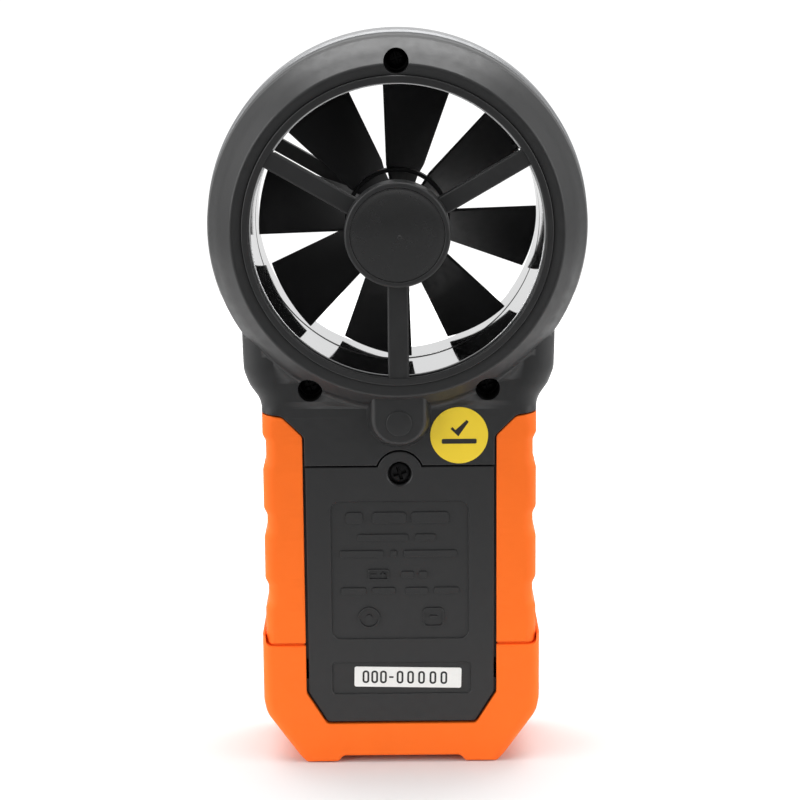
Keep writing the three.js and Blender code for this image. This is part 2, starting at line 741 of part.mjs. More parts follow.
// A cross-recess screw whose head lies to the rear.
function screw(x, z, headRadius, headY, headDepth, shankRadius, tipY) {
  const head = revolve(
    [
      [0, headY],
      [headRadius * 0.7, headY + 0.05],
      [headRadius, headY + 0.4],
      [headRadius, headY + headDepth],
      [shankRadius, headY + headDepth],
      [shankRadius, tipY - 0.5],
      [shankRadius * 0.6, tipY],
      [0, tipY],
    ],
    20,
    x,
    z,
  );
  const arm = headRadius * 0.62;
  const depth = headY + headDepth * 0.6;
  return head
    .subtract(box(x - arm, x + arm, headY - 1, depth, z - 0.35, z + 0.35))
    .subtract(box(x - 0.35, x + 0.35, headY - 1, depth, z - arm, z + arm));
}
place("door_screw", "blackSteel", screw(0, DOOR_SCREW_Z, 2.35, -10, 1.15, 1.1, -5.6));
for (const s of HEAD_SCREWS) {
  place(s.name, "blackSteel", screw(s.x, s.z, 2.35, -5.6, 1.7, 1.05, 12.2));
}
for (const s of CASE_SCREWS) {
  place(s.name, "blackSteel", screw(s.x, s.z, 2.35, -5.6, 1.7, 1.05, 11.4));
}

// ---------------------------------------------------------------- battery and its connector
const cellShape = new THREE.ExtrudeGeometry(roundedRect(-13.1, 13.1, -8.6, 8.6, 2), {
  depth: 46.4,
  bevelEnabled: false,
  curveSegments: 5,
});
cellShape.translate(0, 0.3, 12.6);
function stud(x, y, radius, z0, z1, segments) {
  const g = new THREE.CylinderGeometry(radius, radius, z1 - z0, segments);
  g.rotateX(Math.PI / 2);
  g.translate(x, y, (z0 + z1) / 2);
  return solid(g);
}
place(
  "battery_9v",
  "battery",
  solid(cellShape)
    .add(stud(-6.35, 0.3, 2.8, 58.5, 61.2, 20))
    .add(stud(6.35, 0.3, 3.8, 58.5, 61.2, 6)),
);
const snapPlate = box(-12.4, 12.4, -5.4, 6, 61.6, 64.4);
const snapLead = (x) =>
  lead(
    [
      [x, 0.2, 63.6],
      [x, 0.2, 66.5],
      [x, 0.4, 69.4],
      [x, 3.2, 72.4],
      [x, 7.2, 73.6],
      [x, 10.9, 73.8],
    ],
    0.7,
    14,
  );
place("battery_snap", "snap", snapPlate.add(snapLead(-1.8)).add(snapLead(1.8)));

// ---------------------------------------------------------------- electronics
let board = box(-18.6, 18.6, 11.3, 12.9, 10, 81.2);
for (const key of KEYS) {
  board = board.add(rod(2.4, 12.6, 13.4, key.x, key.z, 16));
}
board = board.add(box(-5, 5, 12.4, 14.2, 40.4, 44.6));
place("main_board", "board", board);
place("display_module", "display", box(-17.4, 17.4, 13.3, 15.8, 46.6, 75.4));
const pane = roundedRect(-WINDOW.half, WINDOW.half, WINDOW.z0, WINDOW.z1, 2);
place("display_window", "window", slab(pane, 17, FRONT_FACE_Y - 0.1, 0.3, 2));
for (const key of KEYS) {
  const cap = slab(ellipse(key.x, key.z, key.a, key.b), 14.6, FRONT_FACE_Y + KEY_REACH, 0.5, 2, 12);
  const flange = slab(ellipse(key.x, key.z, key.a + 0.9, key.b + 0.9), 14.6, 15.8, 0, 0, 12);
  const look = key.name === "key_power" ? "keyPower" : "key";
  place(key.name, look, cap.add(flange));
}

// ---------------------------------------------------------------- stickers
place(
  "inspection_sticker",
  "yellow",
  rod(6.45, REAR_FACE_Y - 0.25, REAR_FACE_Y - 0.05, 13.35, 77.15, 40),
);
const serial = new THREE.BoxGeometry(24.4, 0.2, 4.8);
serial.rotateY(THREE.MathUtils.degToRad(1.2));
serial.translate(1.5, REAR_FACE_Y + 0.25, 20.3);
place("serial_label", "white", solid(serial));

export default group;
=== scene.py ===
"""Looks of the handheld vane anemometer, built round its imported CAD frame.

Shapes are made in millimetres in the CAD's own frame (+Z up, battery side towards -Y) and scaled to
metres when a piece is finished. Outlines are drawn in X and Z as seen from the rear, and profiles
are pairs of radius and Y about the duct's axis or about a screw's.
"""
import math

import bmesh
import bpy
from mathutils import Matrix, Vector


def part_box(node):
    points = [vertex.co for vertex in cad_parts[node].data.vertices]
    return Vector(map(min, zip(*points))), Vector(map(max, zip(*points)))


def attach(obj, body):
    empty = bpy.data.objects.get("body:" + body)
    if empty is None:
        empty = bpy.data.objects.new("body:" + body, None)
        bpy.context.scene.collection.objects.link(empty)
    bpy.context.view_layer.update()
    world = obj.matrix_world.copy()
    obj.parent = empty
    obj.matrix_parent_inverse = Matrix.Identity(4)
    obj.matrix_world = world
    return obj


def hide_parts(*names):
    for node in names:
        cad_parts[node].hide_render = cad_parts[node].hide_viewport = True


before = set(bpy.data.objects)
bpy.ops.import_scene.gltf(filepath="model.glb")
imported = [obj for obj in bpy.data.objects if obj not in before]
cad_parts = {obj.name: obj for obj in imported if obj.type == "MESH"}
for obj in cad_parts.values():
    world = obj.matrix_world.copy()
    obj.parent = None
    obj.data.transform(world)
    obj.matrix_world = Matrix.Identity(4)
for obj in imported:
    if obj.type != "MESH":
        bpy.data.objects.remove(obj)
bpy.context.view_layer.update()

MM = 0.001


def box_mm(node):
    """A CAD node's lowest and highest corners in millimetres."""
    lo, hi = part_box(node)
    return lo / MM, hi / MM


def centre_mm(node):
    lo, hi = box_mm(node)
    return (lo + hi) / 2


# ---- dimensions
DUCT_Z = centre_mm("shaft").z
DUCT_RADIUS = 31.9
LINER_BACK = 32.9
RING_BORE = 33.2
RING_WALL = 34.8
LINER_SEAM = 0.75
TIP_RADIUS = 31.2
BAND_RADIUS = 42.5
HUB_REAR_Y = -19.0
HEAD_FRONT_Y = 19.0
SPLIT_Y = 4.55
REAR_SPLIT_Y = SPLIT_Y - 0.15
FRONT_SPLIT_Y = SPLIT_Y + 0.15
REAR_FACE_Y = box_mm("battery_door")[0].y
FRONT_FACE_Y = box_mm("display_window")[1].y + 0.1
TONGUE_REAR_Y = -14.1
NECK_HALF = 34.9
HANDLE_HALF = 30.7
BOOT_HALF = 31.55
EDGE_RADIUS = 2.6  # long edges of handle and boot
CORE_HALF = 28.3
CORE_REAR_Y = REAR_FACE_Y + 1.8
CORE_FRONT_Y = FRONT_FACE_Y - 2.3
WALL = 2.0
GAP = 0.3
GRIP_INNER_X = 21.7
GRIP_FRONT_X = 24.4
SEAM_Z = 28.3
SEAM_HALF = 0.3
DOOR_HALF = 21.1
DOOR_THICKNESS = 1.5
DOOR_BOTTOM_Z = 9.75
DOOR_TOP_Z = 69.9
DOOR_SCREW_Z = centre_mm("door_screw").z
LUG_RADIUS = 5.1
BAY_HALF = 17.6
BAY_Z = (10.8, 66.5)
BAY_FLOOR_Y = 9.2
SHAFT_BORE = 1.15
STRUT_ANGLES = (30, 150, 270)
ROTOR_Y = (3.6, 15.2)
BLADE_COUNT = 8
BLADE_PHASE = -9
HOOP_RADIUS = 10.9
WINDOW_HALF = 19.0
WINDOW_Z = (45.0, 77.0)
KEYS = {"key_hold": (4.6, 3.2), "key_max_min": (4.6, 3.2), "key_unit": (4.6, 3.2),
        "key_light": (4.6, 3.2), "key_power": (4.4, 4.4)}
SCREW_HEAD_RADIUS = 2.35
WELL_RADIUS = 2.73
CIRCLE = 224  # facets of the large circles
SMALL_CIRCLE = 64


# ---- outlines
def fillet(points, steps=6):
    """Rounds the corners of a closed outline. A point is (a, b) or (a, b, radius)."""
    out = []
    for i, point in enumerate(points):
        here = Vector(point[:2])
        radius = point[2] if len(point) > 2 else 0
        before = Vector(points[i - 1][:2]) - here
        after = Vector(points[(i + 1) % len(points)][:2]) - here
        half = before.angle(after) / 2
        if radius <= 0 or half > 1.565:
            out.append(tuple(here))
            continue
        reach = min(radius / math.tan(half), 0.48 * before.length, 0.48 * after.length)
        radius = reach * math.tan(half)
        bisector = (before.normalized() + after.normalized()).normalized()
        centre = here + bisector * (radius / math.sin(half))
        start = here + before.normalized() * reach - centre
        end = here + after.normalized() * reach - centre
        first = math.atan2(start.y, start.x)
        sweep = (math.atan2(end.y, end.x) - first + math.pi) % (2 * math.pi) - math.pi
        for k in range(steps + 1):
            angle = first + sweep * k / steps
            out.append((centre.x + radius * math.cos(angle), centre.y + radius * math.sin(angle)))
    return out


def mirrored(half):
    """A right-hand half outline, from top to bottom, closed with its mirror image."""
    left = [(-p[0], *p[1:]) for p in reversed(half) if p[0] != 0]
    return list(half) + left


def flipped(points, side):
    return [(side * p[0], *p[1:]) for p in points]


def rounded_rect(x0, x1, z0, z1, radius, steps=8):
    corners = [(x0, z0, radius), (x1, z0, radius), (x1, z1, radius), (x0, z1, radius)]
    return fillet(corners, steps)


def ellipse(x, z, a, b, count=SMALL_CIRCLE):
    turns = [2 * math.pi * k / count for k in range(count)]
    return [(x + a * math.cos(t), z + b * math.sin(t)) for t in turns]


def offset(outline, grow):
    """The outline moved outwards by grow, with mitred corners."""
    if grow == 0:
        return list(outline)
    count = len(outline)
    area = sum(outline[i - 1][0] * outline[i][1] - outline[i][0] * outline[i - 1][1]
               for i in range(count))
    turn = 1 if area > 0 else -1
    out = []
    for i, point in enumerate(outline):
        here = Vector(point)
        into = (here - Vector(outline[i - 1])).normalized()
        away = (Vector(outline[(i + 1) % count]) - here).normalized()
        n0 = Vector((into.y, -into.x)) * turn
        n1 = Vector((away.y, -away.x)) * turn
        middle = (n0 + n1).normalized()
        out.append(tuple(here + middle * (grow / max(0.35, middle.dot(n0)))))
    return out


# ---- solids
def add(name, data):
    """A new object in the scene for a mesh, curve, light or camera."""
    obj = bpy.data.objects.new(name, data)
    bpy.context.scene.collection.objects.link(obj)
    return obj


def solid(verts, faces):
    """A closed mesh object in millimetres with its faces turned outwards."""
    mesh = bpy.data.meshes.new("solid")
    mesh.from_pydata(verts, [], faces)
    bm = bmesh.new()
    bm.from_mesh(mesh)
    bmesh.ops.remove_doubles(bm, verts=bm.verts, dist=1e-5)
    bmesh.ops.recalc_face_normals(bm, faces=bm.faces)
    bm.to_mesh(mesh)
    bm.free()
    return add("solid", mesh)


def stack(sections):
    """A solid skinned through sections of equally many points, with both ends closed."""
    count = len(sections[0])
    last = count * (len(sections) - 1)
    faces = [tuple(range(count)), tuple(range(last, last + count))]
    for low in range(0, last, count):
        for k in range(count):
            m = (k + 1) % count
            faces.append((low + k, low + m, low + count + m, low + count + k))
    return solid([point for section in sections for point in section], faces)


def revolve(profile, segments=CIRCLE, x=0.0, z=DUCT_Z):
    """A closed profile of (radius, y) turned about an axis parallel to Y through (x, z)."""
    verts, rings, faces = [], [], []
    for radius, y in profile:
        count = 1 if radius == 0 else segments
        rings.append(range(len(verts), len(verts) + count))
        for k in range(count):
            turn = 2 * math.pi * k / segments
            verts.append((x + radius * math.cos(turn), y, z + radius * math.sin(turn)))
    for i, ring in enumerate(rings):
        other = rings[(i + 1) % len(rings)]
        for k in range(segments):
            m = (k + 1) % segments
            if len(ring) > 1 and len(other) > 1:
                faces.append((ring[k], ring[m], other[m], other[k]))
            elif len(ring) > 1:
                faces.append((ring[k], ring[m], other[0]))
            elif len(other) > 1:
                faces.append((ring[0], other[m], other[k]))
    return solid(verts, faces)


def rod(radius, y0, y1, x=0.0, z=DUCT_Z, segments=SMALL_CIRCLE):
    return revolve([(0, y0), (radius, y0), (radius, y1), (0, y1)], segments, x, z)


def bore(radius, y0=-30, y1=30):
    """A large round bar on the duct's axis, to cut with."""
    return rod(radius, y0, y1, segments=CIRCLE)


def loft(outline, layers):
    """An outline of (x, z) run along Y through layers of (grow, y)."""
    return stack([[(x, y, z) for x, z in offset(outline, grow)] for grow, y in layers])


def slab(outline, y0, y1, rear=0.0, front=0.0, steps=5):
    """An outline thickened from y0 to y1, with its rear and front edges rounded by those radii."""
    def quarter(radius):
        return [math.pi / 2 * k / steps for k in range(steps + 1)] if radius else [math.pi / 2]
    layers = [(rear * (math.sin(t) - 1), y0 + rear * (1 - math.cos(t))) for t in quarter(rear)]
    layers += [(front * (math.sin(t) - 1), y1 - front * (1 - math.cos(t)))
               for t in reversed(quarter(front))]
    return loft(outline, layers)


def column(levels):
    """A block stacked along Z from sections with rounded corners. A level is (z, half width,
    rear y, front y, width and depth of the rear rounding, radius of the front rounding)."""
    quarter = [math.pi / 2 * k / 8 for k in range(9)]
    sections = []
    for z, half, rear, front, wide, deep, radius in levels:
        right = [(half - wide * (1 - math.sin(t)), rear + deep * (1 - math.cos(t)))
                 for t in quarter]
        right += [(half - radius * (1 - math.cos(t)), front - radius * (1 - math.sin(t)))
                  for t in quarter]
        sections.append([(x, y, z) for x, y in right] + [(-x, y, z) for x, y in reversed(right)])
    return stack(sections)


def box(x0, x1, y0, y1, z0, z1):
    return loft([(x0, z0), (x1, z0), (x1, z1), (x0, z1)], [(0, y0), (0, y1)])


def swung(points, angle, x=0.0, z=DUCT_Z):
    """Points (u, w) turned by an angle about (x, z), as seen from the rear."""
    c, s = math.cos(angle), math.sin(angle)
    return [(x + u * c - w * s, z + u * s + w * c) for u, w in points]


def side_box(side, near, far, *spans):
    """A box between two distances from the middle, on the side that -1 or 1 gives."""
    return box(*sorted((side * near, side * far)), *spans)


def spoke(angle, r0, r1, width, y0, y1, rear):
    """A bar that reaches out from the duct's axis at an angle seen from the rear."""
    half = width / 2
    corners = [(r0, -half), (r1, -half), (r1, half), (r0, half)]
    return slab(swung(corners, math.radians(angle)), y0, y1, rear, 0.3)


def stroke(path, width, y0, y1, closed=False):
    """A line of even width along (x, z) points, thickened from y0 to y1, as a printed mark."""
    if closed:
        outer, inner = offset(path, width / 2), offset(path, -width / 2)
        return cut(slab(outer, y0, y1), slab(inner, y0 - 1, y1 + 1))
    left, right = [], []
    for i, point in enumerate(path):
        before, after = path[max(i - 1, 0)], path[min(i + 1, len(path) - 1)]
        along = (Vector(after) - Vector(before)).normalized()
        reach = width / 2
        if 0 < i < len(path) - 1:
            into = (Vector(point) - Vector(before)).normalized()
            reach /= max(0.4, math.cos(into.angle(along)))
        side = Vector((-along.y, along.x)) * reach
        left.append(tuple(Vector(point) + side))
        right.append(tuple(Vector(point) - side))
    return slab(left + right[::-1], y0, y1)


def evaluated_mesh(obj):
    """The object's mesh with its modifiers or curve settings applied."""
    bpy.context.view_layer.update()
    graph = bpy.context.evaluated_depsgraph_get()
    return bpy.data.meshes.new_from_object(obj.evaluated_get(graph))


def combine(body, others, operation):
    """Applies one Boolean operation with each of the others in turn, and uses them up."""
    for other in others:
        modifier = body.modifiers.new("combine", "BOOLEAN")
        modifier.operation = operation
        modifier.solver = "MANIFOLD"
        modifier.object = other
        result = evaluated_mesh(body)
        body.modifiers.clear()
        used = (body.data, other.data)
        body.data = result
        bpy.data.objects.remove(other)
        for mesh in used:
            bpy.data.meshes.remove(mesh)
    return body


def join(body, *others):
    return combine(body, others, "UNION")


def cut(body, *others):
    return combine(body, others, "DIFFERENCE")


def common(body, *others):
    return combine(body, others, "INTERSECT")


# ---- materials
def feed(tree, node, inputs):
    """Sets a node's inputs. Each value is a constant, or the output that it is linked from."""
    for key, value in inputs.items():
        if isinstance(value, bpy.types.NodeSocket):
            tree.links.new(value, node.inputs[key])
        else:
            node.inputs[key].default_value = value


def add_node(tree, kind, inputs, output=0, **settings):
    """Adds a shader node and returns one of its outputs."""
    node = tree.nodes.new("ShaderNode" + kind)
    for key, value in settings.items():
        setattr(node, key, value)
    feed(tree, node, inputs)
    return node.outputs[output] if node.outputs else None


def ramp(tree, value, from_min, from_max, to_min, to_max):
    """A value mapped from one range to another and held at its ends."""
    return add_node(tree, "MapRange", {"Value": value, "From Min": from_min, "From Max": from_max,
                                       "To Min": to_min, "To Max": to_max})


def material(name, colour, roughness, metallic=0.0, specular=0.5, mottle=0.06, mottle_size=6.0,
             rough_spread=0.06, grain=0.3, grain_depth=0.006, transmission=0.0,
             stretch=(1, 1, 1)):
    """A procedural surface. Sizes are in millimetres: mottle shifts the colour in broad patches,
    and grain is the size of the fine relief, which is grain_depth deep."""
    made = bpy.data.materials.new(name)
    made.use_nodes = True
    tree = made.node_tree
    place = add_node(tree, "TexCoord", {}, "Object")
    place = add_node(tree, "Mapping", {"Vector": place, "Scale": stretch})

    def noise(size, detail):
        return add_node(tree, "TexNoise", {"Vector": place, "Scale": 1 / (size * MM),
                                           "Detail": detail}, "Fac")

    shader = tree.nodes["Principled BSDF"]
    feed(tree, shader, {"Base Color": (*colour, 1), "Metallic": metallic, "Roughness": roughness,
                        "Specular IOR Level": specular, "Transmission Weight": transmission})
    if mottle:
        dark, light = [(*[min(1, c * (1 + shift)) for c in colour], 1)
                       for shift in (-mottle, mottle)]
        blend = add_node(tree, "Mix", {"Factor": noise(mottle_size, 4), "A": dark, "B": light},
                         "Result", data_type="RGBA")
        feed(tree, shader, {"Base Color": blend})
    if rough_spread:
        spread = ramp(tree, noise(mottle_size * 0.35, 3), 0.3, 0.7,
                      max(0.0, roughness - rough_spread), min(1.0, roughness + rough_spread))
        feed(tree, shader, {"Roughness": spread})
    if grain_depth:
        bump = add_node(tree, "Bump", {"Strength": 1.0, "Distance": grain_depth * MM,
                                       "Height": noise(grain, 2)})
        feed(tree, shader, {"Normal": bump})
    return made


MATERIALS = {
    "case": material("case_plastic", (0.016, 0.0163, 0.0168), 0.42, specular=0.45),
    "door": material("door_plastic", (0.015, 0.0152, 0.0157), 0.48, specular=0.45),
    "guard": material("guard_plastic", (0.014, 0.0142, 0.0147), 0.46, specular=0.45),
    "cap": material("cap_plastic", (0.007, 0.0072, 0.0075), 0.26, specular=0.9, rough_spread=0.02,
                    grain_depth=0.001),
    "vane": material("vane_plastic", (0.006, 0.006, 0.0065), 0.5, specular=0.12),
    "band": material("band_silver", (0.19, 0.193, 0.198), 0.34, metallic=0.35, mottle=0.02,
                     grain=0.12, grain_depth=0.002),
    "liner": material("liner_chrome", (0.82, 0.825, 0.83), 0.08, metallic=1.0, mottle=0.01,
                      rough_spread=0.02, grain=1.2, grain_depth=0.0015),
    "grip": material("grip_rubber", (0.97, 0.163, 0.0132), 0.62, specular=0.22, mottle=0.035,
                     grain=0.35, grain_depth=0.007),
    "steel": material("steel", (0.55, 0.56, 0.57), 0.28, metallic=1.0, grain_depth=0.001,
                      stretch=(1, 12, 1)),
    "black_steel": material("black_steel", (0.006, 0.006, 0.0065), 0.4, metallic=0.3,
                            specular=0.2, grain=0.15, grain_depth=0.003),
    "brass": material("sintered_brass", (0.5, 0.32, 0.1), 0.42, metallic=1.0, grain=0.15,
                      grain_depth=0.006),
    "magnet": material("magnet_nickel", (0.4, 0.4, 0.42), 0.35, metallic=1.0),
    "board": material("board_green", (0.012, 0.11, 0.045), 0.4, mottle=0.2, mottle_size=2.0),
    "battery": material("battery_jacket", (0.02, 0.035, 0.075), 0.3, metallic=0.35, mottle=0.03,
                        grain=0.5, grain_depth=0.002),
    "battery_trim": material("battery_trim", (0.55, 0.56, 0.58), 0.35, metallic=0.8, mottle=0.02),
    "snap": material("snap_vinyl", (0.015, 0.015, 0.016), 0.6, grain_depth=0.01),
    "red_lead": material("red_lead", (0.5, 0.012, 0.01), 0.5),
    "black_lead": material("black_lead", (0.015, 0.015, 0.016), 0.5),
    "display": material("display_glass", (0.3, 0.36, 0.27), 0.2, mottle=0.03),
    "segment": material("display_segment", (0.02, 0.025, 0.02), 0.3),
    "bezel": material("display_bezel", (0.02, 0.02, 0.022), 0.45),
    "window": material("window_clear", (0.96, 0.97, 0.97), 0.03, transmission=1.0, mottle=0.0,
                       rough_spread=0.01, grain_depth=0.0),
    "key": material("key_rubber", (0.1, 0.105, 0.115), 0.65, specular=0.3),
    "key_power": material("key_power_rubber", (0.85, 0.13, 0.02), 0.6, specular=0.3),
    "ink": material("key_ink", (0.75, 0.75, 0.75), 0.5),
    "yellow": material("sticker_yellow", (0.87, 0.63, 0.03), 0.42, mottle=0.03, grain=0.8,
                       grain_depth=0.003),
    "black_ink": material("black_ink", (0.012, 0.012, 0.012), 0.45),
    "white": material("label_white", (0.82, 0.82, 0.8), 0.45, mottle=0.03, mottle_size=0.5,
                      grain=0.25, grain_depth=0.006),
    "foam": material("pad_foam", (0.02, 0.02, 0.021), 0.9, grain=0.4, grain_depth=0.03),
}

# The CAD nodes that show as they are.
CARRIED_LOOKS = {
    "shaft": "steel", "pickup_magnet": "magnet", "rear_bearing": "brass", "front_bearing": "brass",
    "pickup_board": "board", "pickup_lead": "black_lead", "main_board": "board",
}


def dress(mesh, look):
    mesh.materials.clear()
    mesh.materials.append(MATERIALS[look])


def piece(obj, name, look, body="case", node=None, slot=None, sharp=32):
    """Finishes a solid as a named piece: metres, shading, material and body, and hides the CAD node
    that it replaces. Its slot argument is not used."""
    obj.name = obj.data.name = name
    mesh = obj.data
    bm = bmesh.new()
    bm.from_mesh(mesh)
    bmesh.ops.remove_doubles(bm, verts=bm.verts, dist=2e-4)
    bmesh.ops.dissolve_degenerate(bm, edges=bm.edges, dist=2e-4)
    bm.to_mesh(mesh)
    bm.free()
    mesh.transform(Matrix.Scale(MM, 4))
    dress(mesh, look)
    mesh.shade_smooth()
    mesh.set_sharp_from_angle(angle=math.radians(sharp))
    weighted = obj.modifiers.new("even_shading", "WEIGHTED_NORMAL")
    weighted.keep_sharp = True
    weighted.weight = 80
    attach(obj, body)
    if slot or node:
        slot or look
    if node:
        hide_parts(node)


# ---- shared outlines and volumes
CASE_SIDE = [
    (NECK_HALF, 107), (34.75, 96.3, 20), (34.6, 91.6, 6), (33.4, 88.4, 6), (31.35, 85.6, 6),
    (30.75, 83.9, 5), (HANDLE_HALF, 81.3, 5), (HANDLE_HALF, 8),
]
# Where the neck's dark plastic ends above the grips, on both housings.
SHOULDER = [(40, 108), (40, 82.35), (30.5, 82.3, 2)]
BOOT_SIDE = [(BOOT_HALF, 36), (BOOT_HALF, 14.7, 7), (30.9, 11.4, 7)]
BOOT_FEET = [(24.0, 1.7, 2.5), (21.9, 0, 0.8), (14.6, 0, 0.9), (13.5, 1.4, 1.5)]


def smooth_step(value, low, high):
    t = min(1.0, max(0.0, (value - low) / (high - low)))
    return t * t * (3 - 2 * t)


def half_width(side, z):
    """The half width at height z of a side outline listed from the top down."""
    for (x1, z1), (x0, z0) in zip(side, side[1:]):
        if z0 <= z <= z1:
            return x0 + (x1 - x0) * (z - z0) / max(z1 - z0, 1e-6)
    return side[-1][0]


def neck_rounding(z):
    """Width and depth of the rear side rounding, which is wider on the neck than on the handle."""
    grown = smooth_step(z, 77, 90)
    return EDGE_RADIUS + 4.2 * grown, EDGE_RADIUS + 1.5 * grown


def core_outline(grow):
    return mirrored([
        (CORE_HALF + grow, 86), (CORE_HALF + grow, 16.8 - 0.4 * grow),
        (27.6 + grow, 13.6 - 0.4 * grow), (18.4 + 0.4 * grow, 4 - grow),
    ])


def right_side(side):
    """The rounded right-hand half of a side outline."""
    return [p for p in fillet(mirrored(side), 8) if p[0] > 0]


def handle_body(side=CASE_SIDE):
    """Neck and handle in one block, with a side outline that may have scallops in it."""
    outline = right_side(side)
    levels = []
    for z in sorted({round(z, 4) for _, z in outline} | {77 + k for k in range(30)}):
        front = FRONT_FACE_Y - 2.2 * smooth_step(z, 93, 106)
        levels.append((z, half_width(outline, z), REAR_FACE_Y, front, *neck_rounding(z),
                       EDGE_RADIUS))
    return column(levels)


def core_body(grow=0.0):
    return slab(core_outline(grow), CORE_REAR_Y - grow, CORE_FRONT_Y + grow, 2, 2, 4)


def half_space(rear):
    if rear:
        return box(-60, 60, -40, REAR_SPLIT_Y, -5, 180)
    return box(-60, 60, FRONT_SPLIT_Y, 40, -5, 180)


def neck_cavity():
    sides = mirrored([(32.2, 99), (32.2, 91.5), (29.2, 86.5), (26.3, 82), (18, 78), (18, 66)])
    return slab(sides, REAR_FACE_Y + WALL, FRONT_FACE_Y - WALL)


def case_cavity():
    core = slab(core_outline(-WALL), CORE_REAR_Y + WALL, CORE_FRONT_Y - WALL)
    return cut(join(neck_cavity(), core), bore(RING_WALL))


def neck_region():
    """The part of the rear face that the dark housing shows, above the grips and the door."""
    low_edge = DOOR_TOP_Z + 0.32
    reach = LUG_RADIUS + 0.35
    first = math.asin((low_edge - DOOR_SCREW_Z) / reach)
    turns = [first + (math.pi - 2 * first) * k / 24 for k in range(25)]
    arc = [(reach * math.cos(t), DOOR_SCREW_Z + reach * math.sin(t)) for t in turns]
    right = [*SHOULDER, (26.2, 81.7, 2), (21.3, 76.9, 1.6), (21.3, low_edge)]
    left = flipped(reversed(right), -1)
    return slab(fillet(right + arc + left), REAR_FACE_Y - 0.01, 30, 0.3, 0, 3)


# ---- rear housing
RING_CONE = [(36.3, -15.4, 0.9), (39.4, -11.9, 16), (41.5, -8.5, 1.2)]
RING_PROFILE = [
    (RING_BORE, -13.6), (33.95, -13.6), (33.95, -14.8, 0.15), *RING_CONE, (41.9, -6.8, 1.2),
    (41.9, 0.9, 0.35), (39.2, 0.9), (39.2, REAR_SPLIT_Y), (37.8, REAR_SPLIT_Y), (37.8, -7),
    (36.2, -12.4), (RING_WALL, -12.4), (RING_WALL, REAR_SPLIT_Y), (RING_BORE, REAR_SPLIT_Y),
]
NECK_SIDE = right_side(CASE_SIDE)


def neck_y(x, z):
    """The Y of the neck's rear surface."""
    wide, deep = neck_rounding(z)
    run = max(0.0, (abs(x) - half_width(NECK_SIDE, z) + wide) / wide)
    return REAR_FACE_Y + deep * (1 - math.sqrt(max(0.0, 1 - run * run)))


def ring_hollow():
    """The soft hollow where the ring's cone runs into the rear of the neck."""
    def cone(radius):
        start = 0 if radius < RING_CONE[1][0] else 1
        (r0, y0, _), (r1, y1, _) = RING_CONE[start:start + 2]
        return y0 + (radius - r0) * (y1 - y0) / (r1 - r0)

    def neck(radius, turn):
        return neck_y(radius * math.cos(turn), DUCT_Z + radius * math.sin(turn))

    lift, count = Vector((0, 0.02)), 48
    sections = []
    for k in range(count + 1):
        turn = math.radians(-138 + 96 * k / count)
        low, high = 37.0, 41.7
        for _ in range(30):
            middle = (low + high) / 2
            low, high = (middle, high) if cone(middle) < neck(middle, turn) else (low, middle)
        reach = 0.9 * math.sin(math.pi * k / count) ** 0.5 + 0.02
        start = Vector((low - reach, cone(low - reach))) + lift
        bend = Vector((low, cone(low))) + lift
        end = Vector((low + reach, neck(low + reach, turn))) + lift
        curve = [(1 - t) ** 2 * start + 2 * t * (1 - t) * bend + t * t * end
                 for t in [j / 6 for j in range(7)]]
        curve += [end + Vector((0, 1.0)), start + Vector((0.3, 1.6))]
        sections.append([(p.x * math.cos(turn), p.y, DUCT_Z + p.x * math.sin(turn))
                         for p in curve])
    return stack(sections)


def tongue():
    """The raised tongue below the ring and the low round boss on it."""
    outline = rounded_rect(-7.1, 7.1, 74.6, 99, 7.05, 20)
    raised = loft(outline, [
        (-2.05, TONGUE_REAR_Y), (-1.75, TONGUE_REAR_Y + 0.06), (-1.35, TONGUE_REAR_Y + 0.3),
        (-1.0, TONGUE_REAR_Y + 0.7), (-0.8, TONGUE_REAR_Y + 1.2), (-0.25, REAR_FACE_Y - 0.5),
        (0.1, REAR_FACE_Y - 0.02), (0.1, CORE_REAR_Y)])
    top = TONGUE_REAR_Y - 0.22
    profile = fillet([(0, top), (2.85, top, 0.15), (2.85, -11.5), (0, -11.5)], 4)
    return join(raised, revolve(profile, SMALL_CIRCLE, 0, 80.75))


def band_room():
    """Room above the neck for the silver band."""
    groove = revolve([(39.2, 0.9), (46, 0.9), (46, 11.3), (39.2, 11.3)])
    return common(groove, box(-60, 60, 0, 20, 100.3, 180))


# Each screw of the two housings: the radius and Y span of its boss in the rear housing, and the
# radius and end of its post in the front housing.
NECK_SEAT = (3.9, REAR_FACE_Y + 1.2, REAR_SPLIT_Y, 3.2, FRONT_FACE_Y - 1)
HANDLE_SEAT = (3.3, CORE_REAR_Y + 0.6, REAR_SPLIT_Y, 2.6, FRONT_FACE_Y - 3)
SCREW_SEATS = {
    "head_screw_top": (3.5, -8, 0.9, 2.3, 15),
    "head_screw_left": NECK_SEAT, "head_screw_right": NECK_SEAT,
    "case_screw_left": HANDLE_SEAT, "case_screw_right": HANDLE_SEAT,
}


def bay(grow, y0, y1):
    return box(-BAY_HALF - grow, BAY_HALF + grow, y0, y1, BAY_Z[0] - grow, BAY_Z[1] + grow)


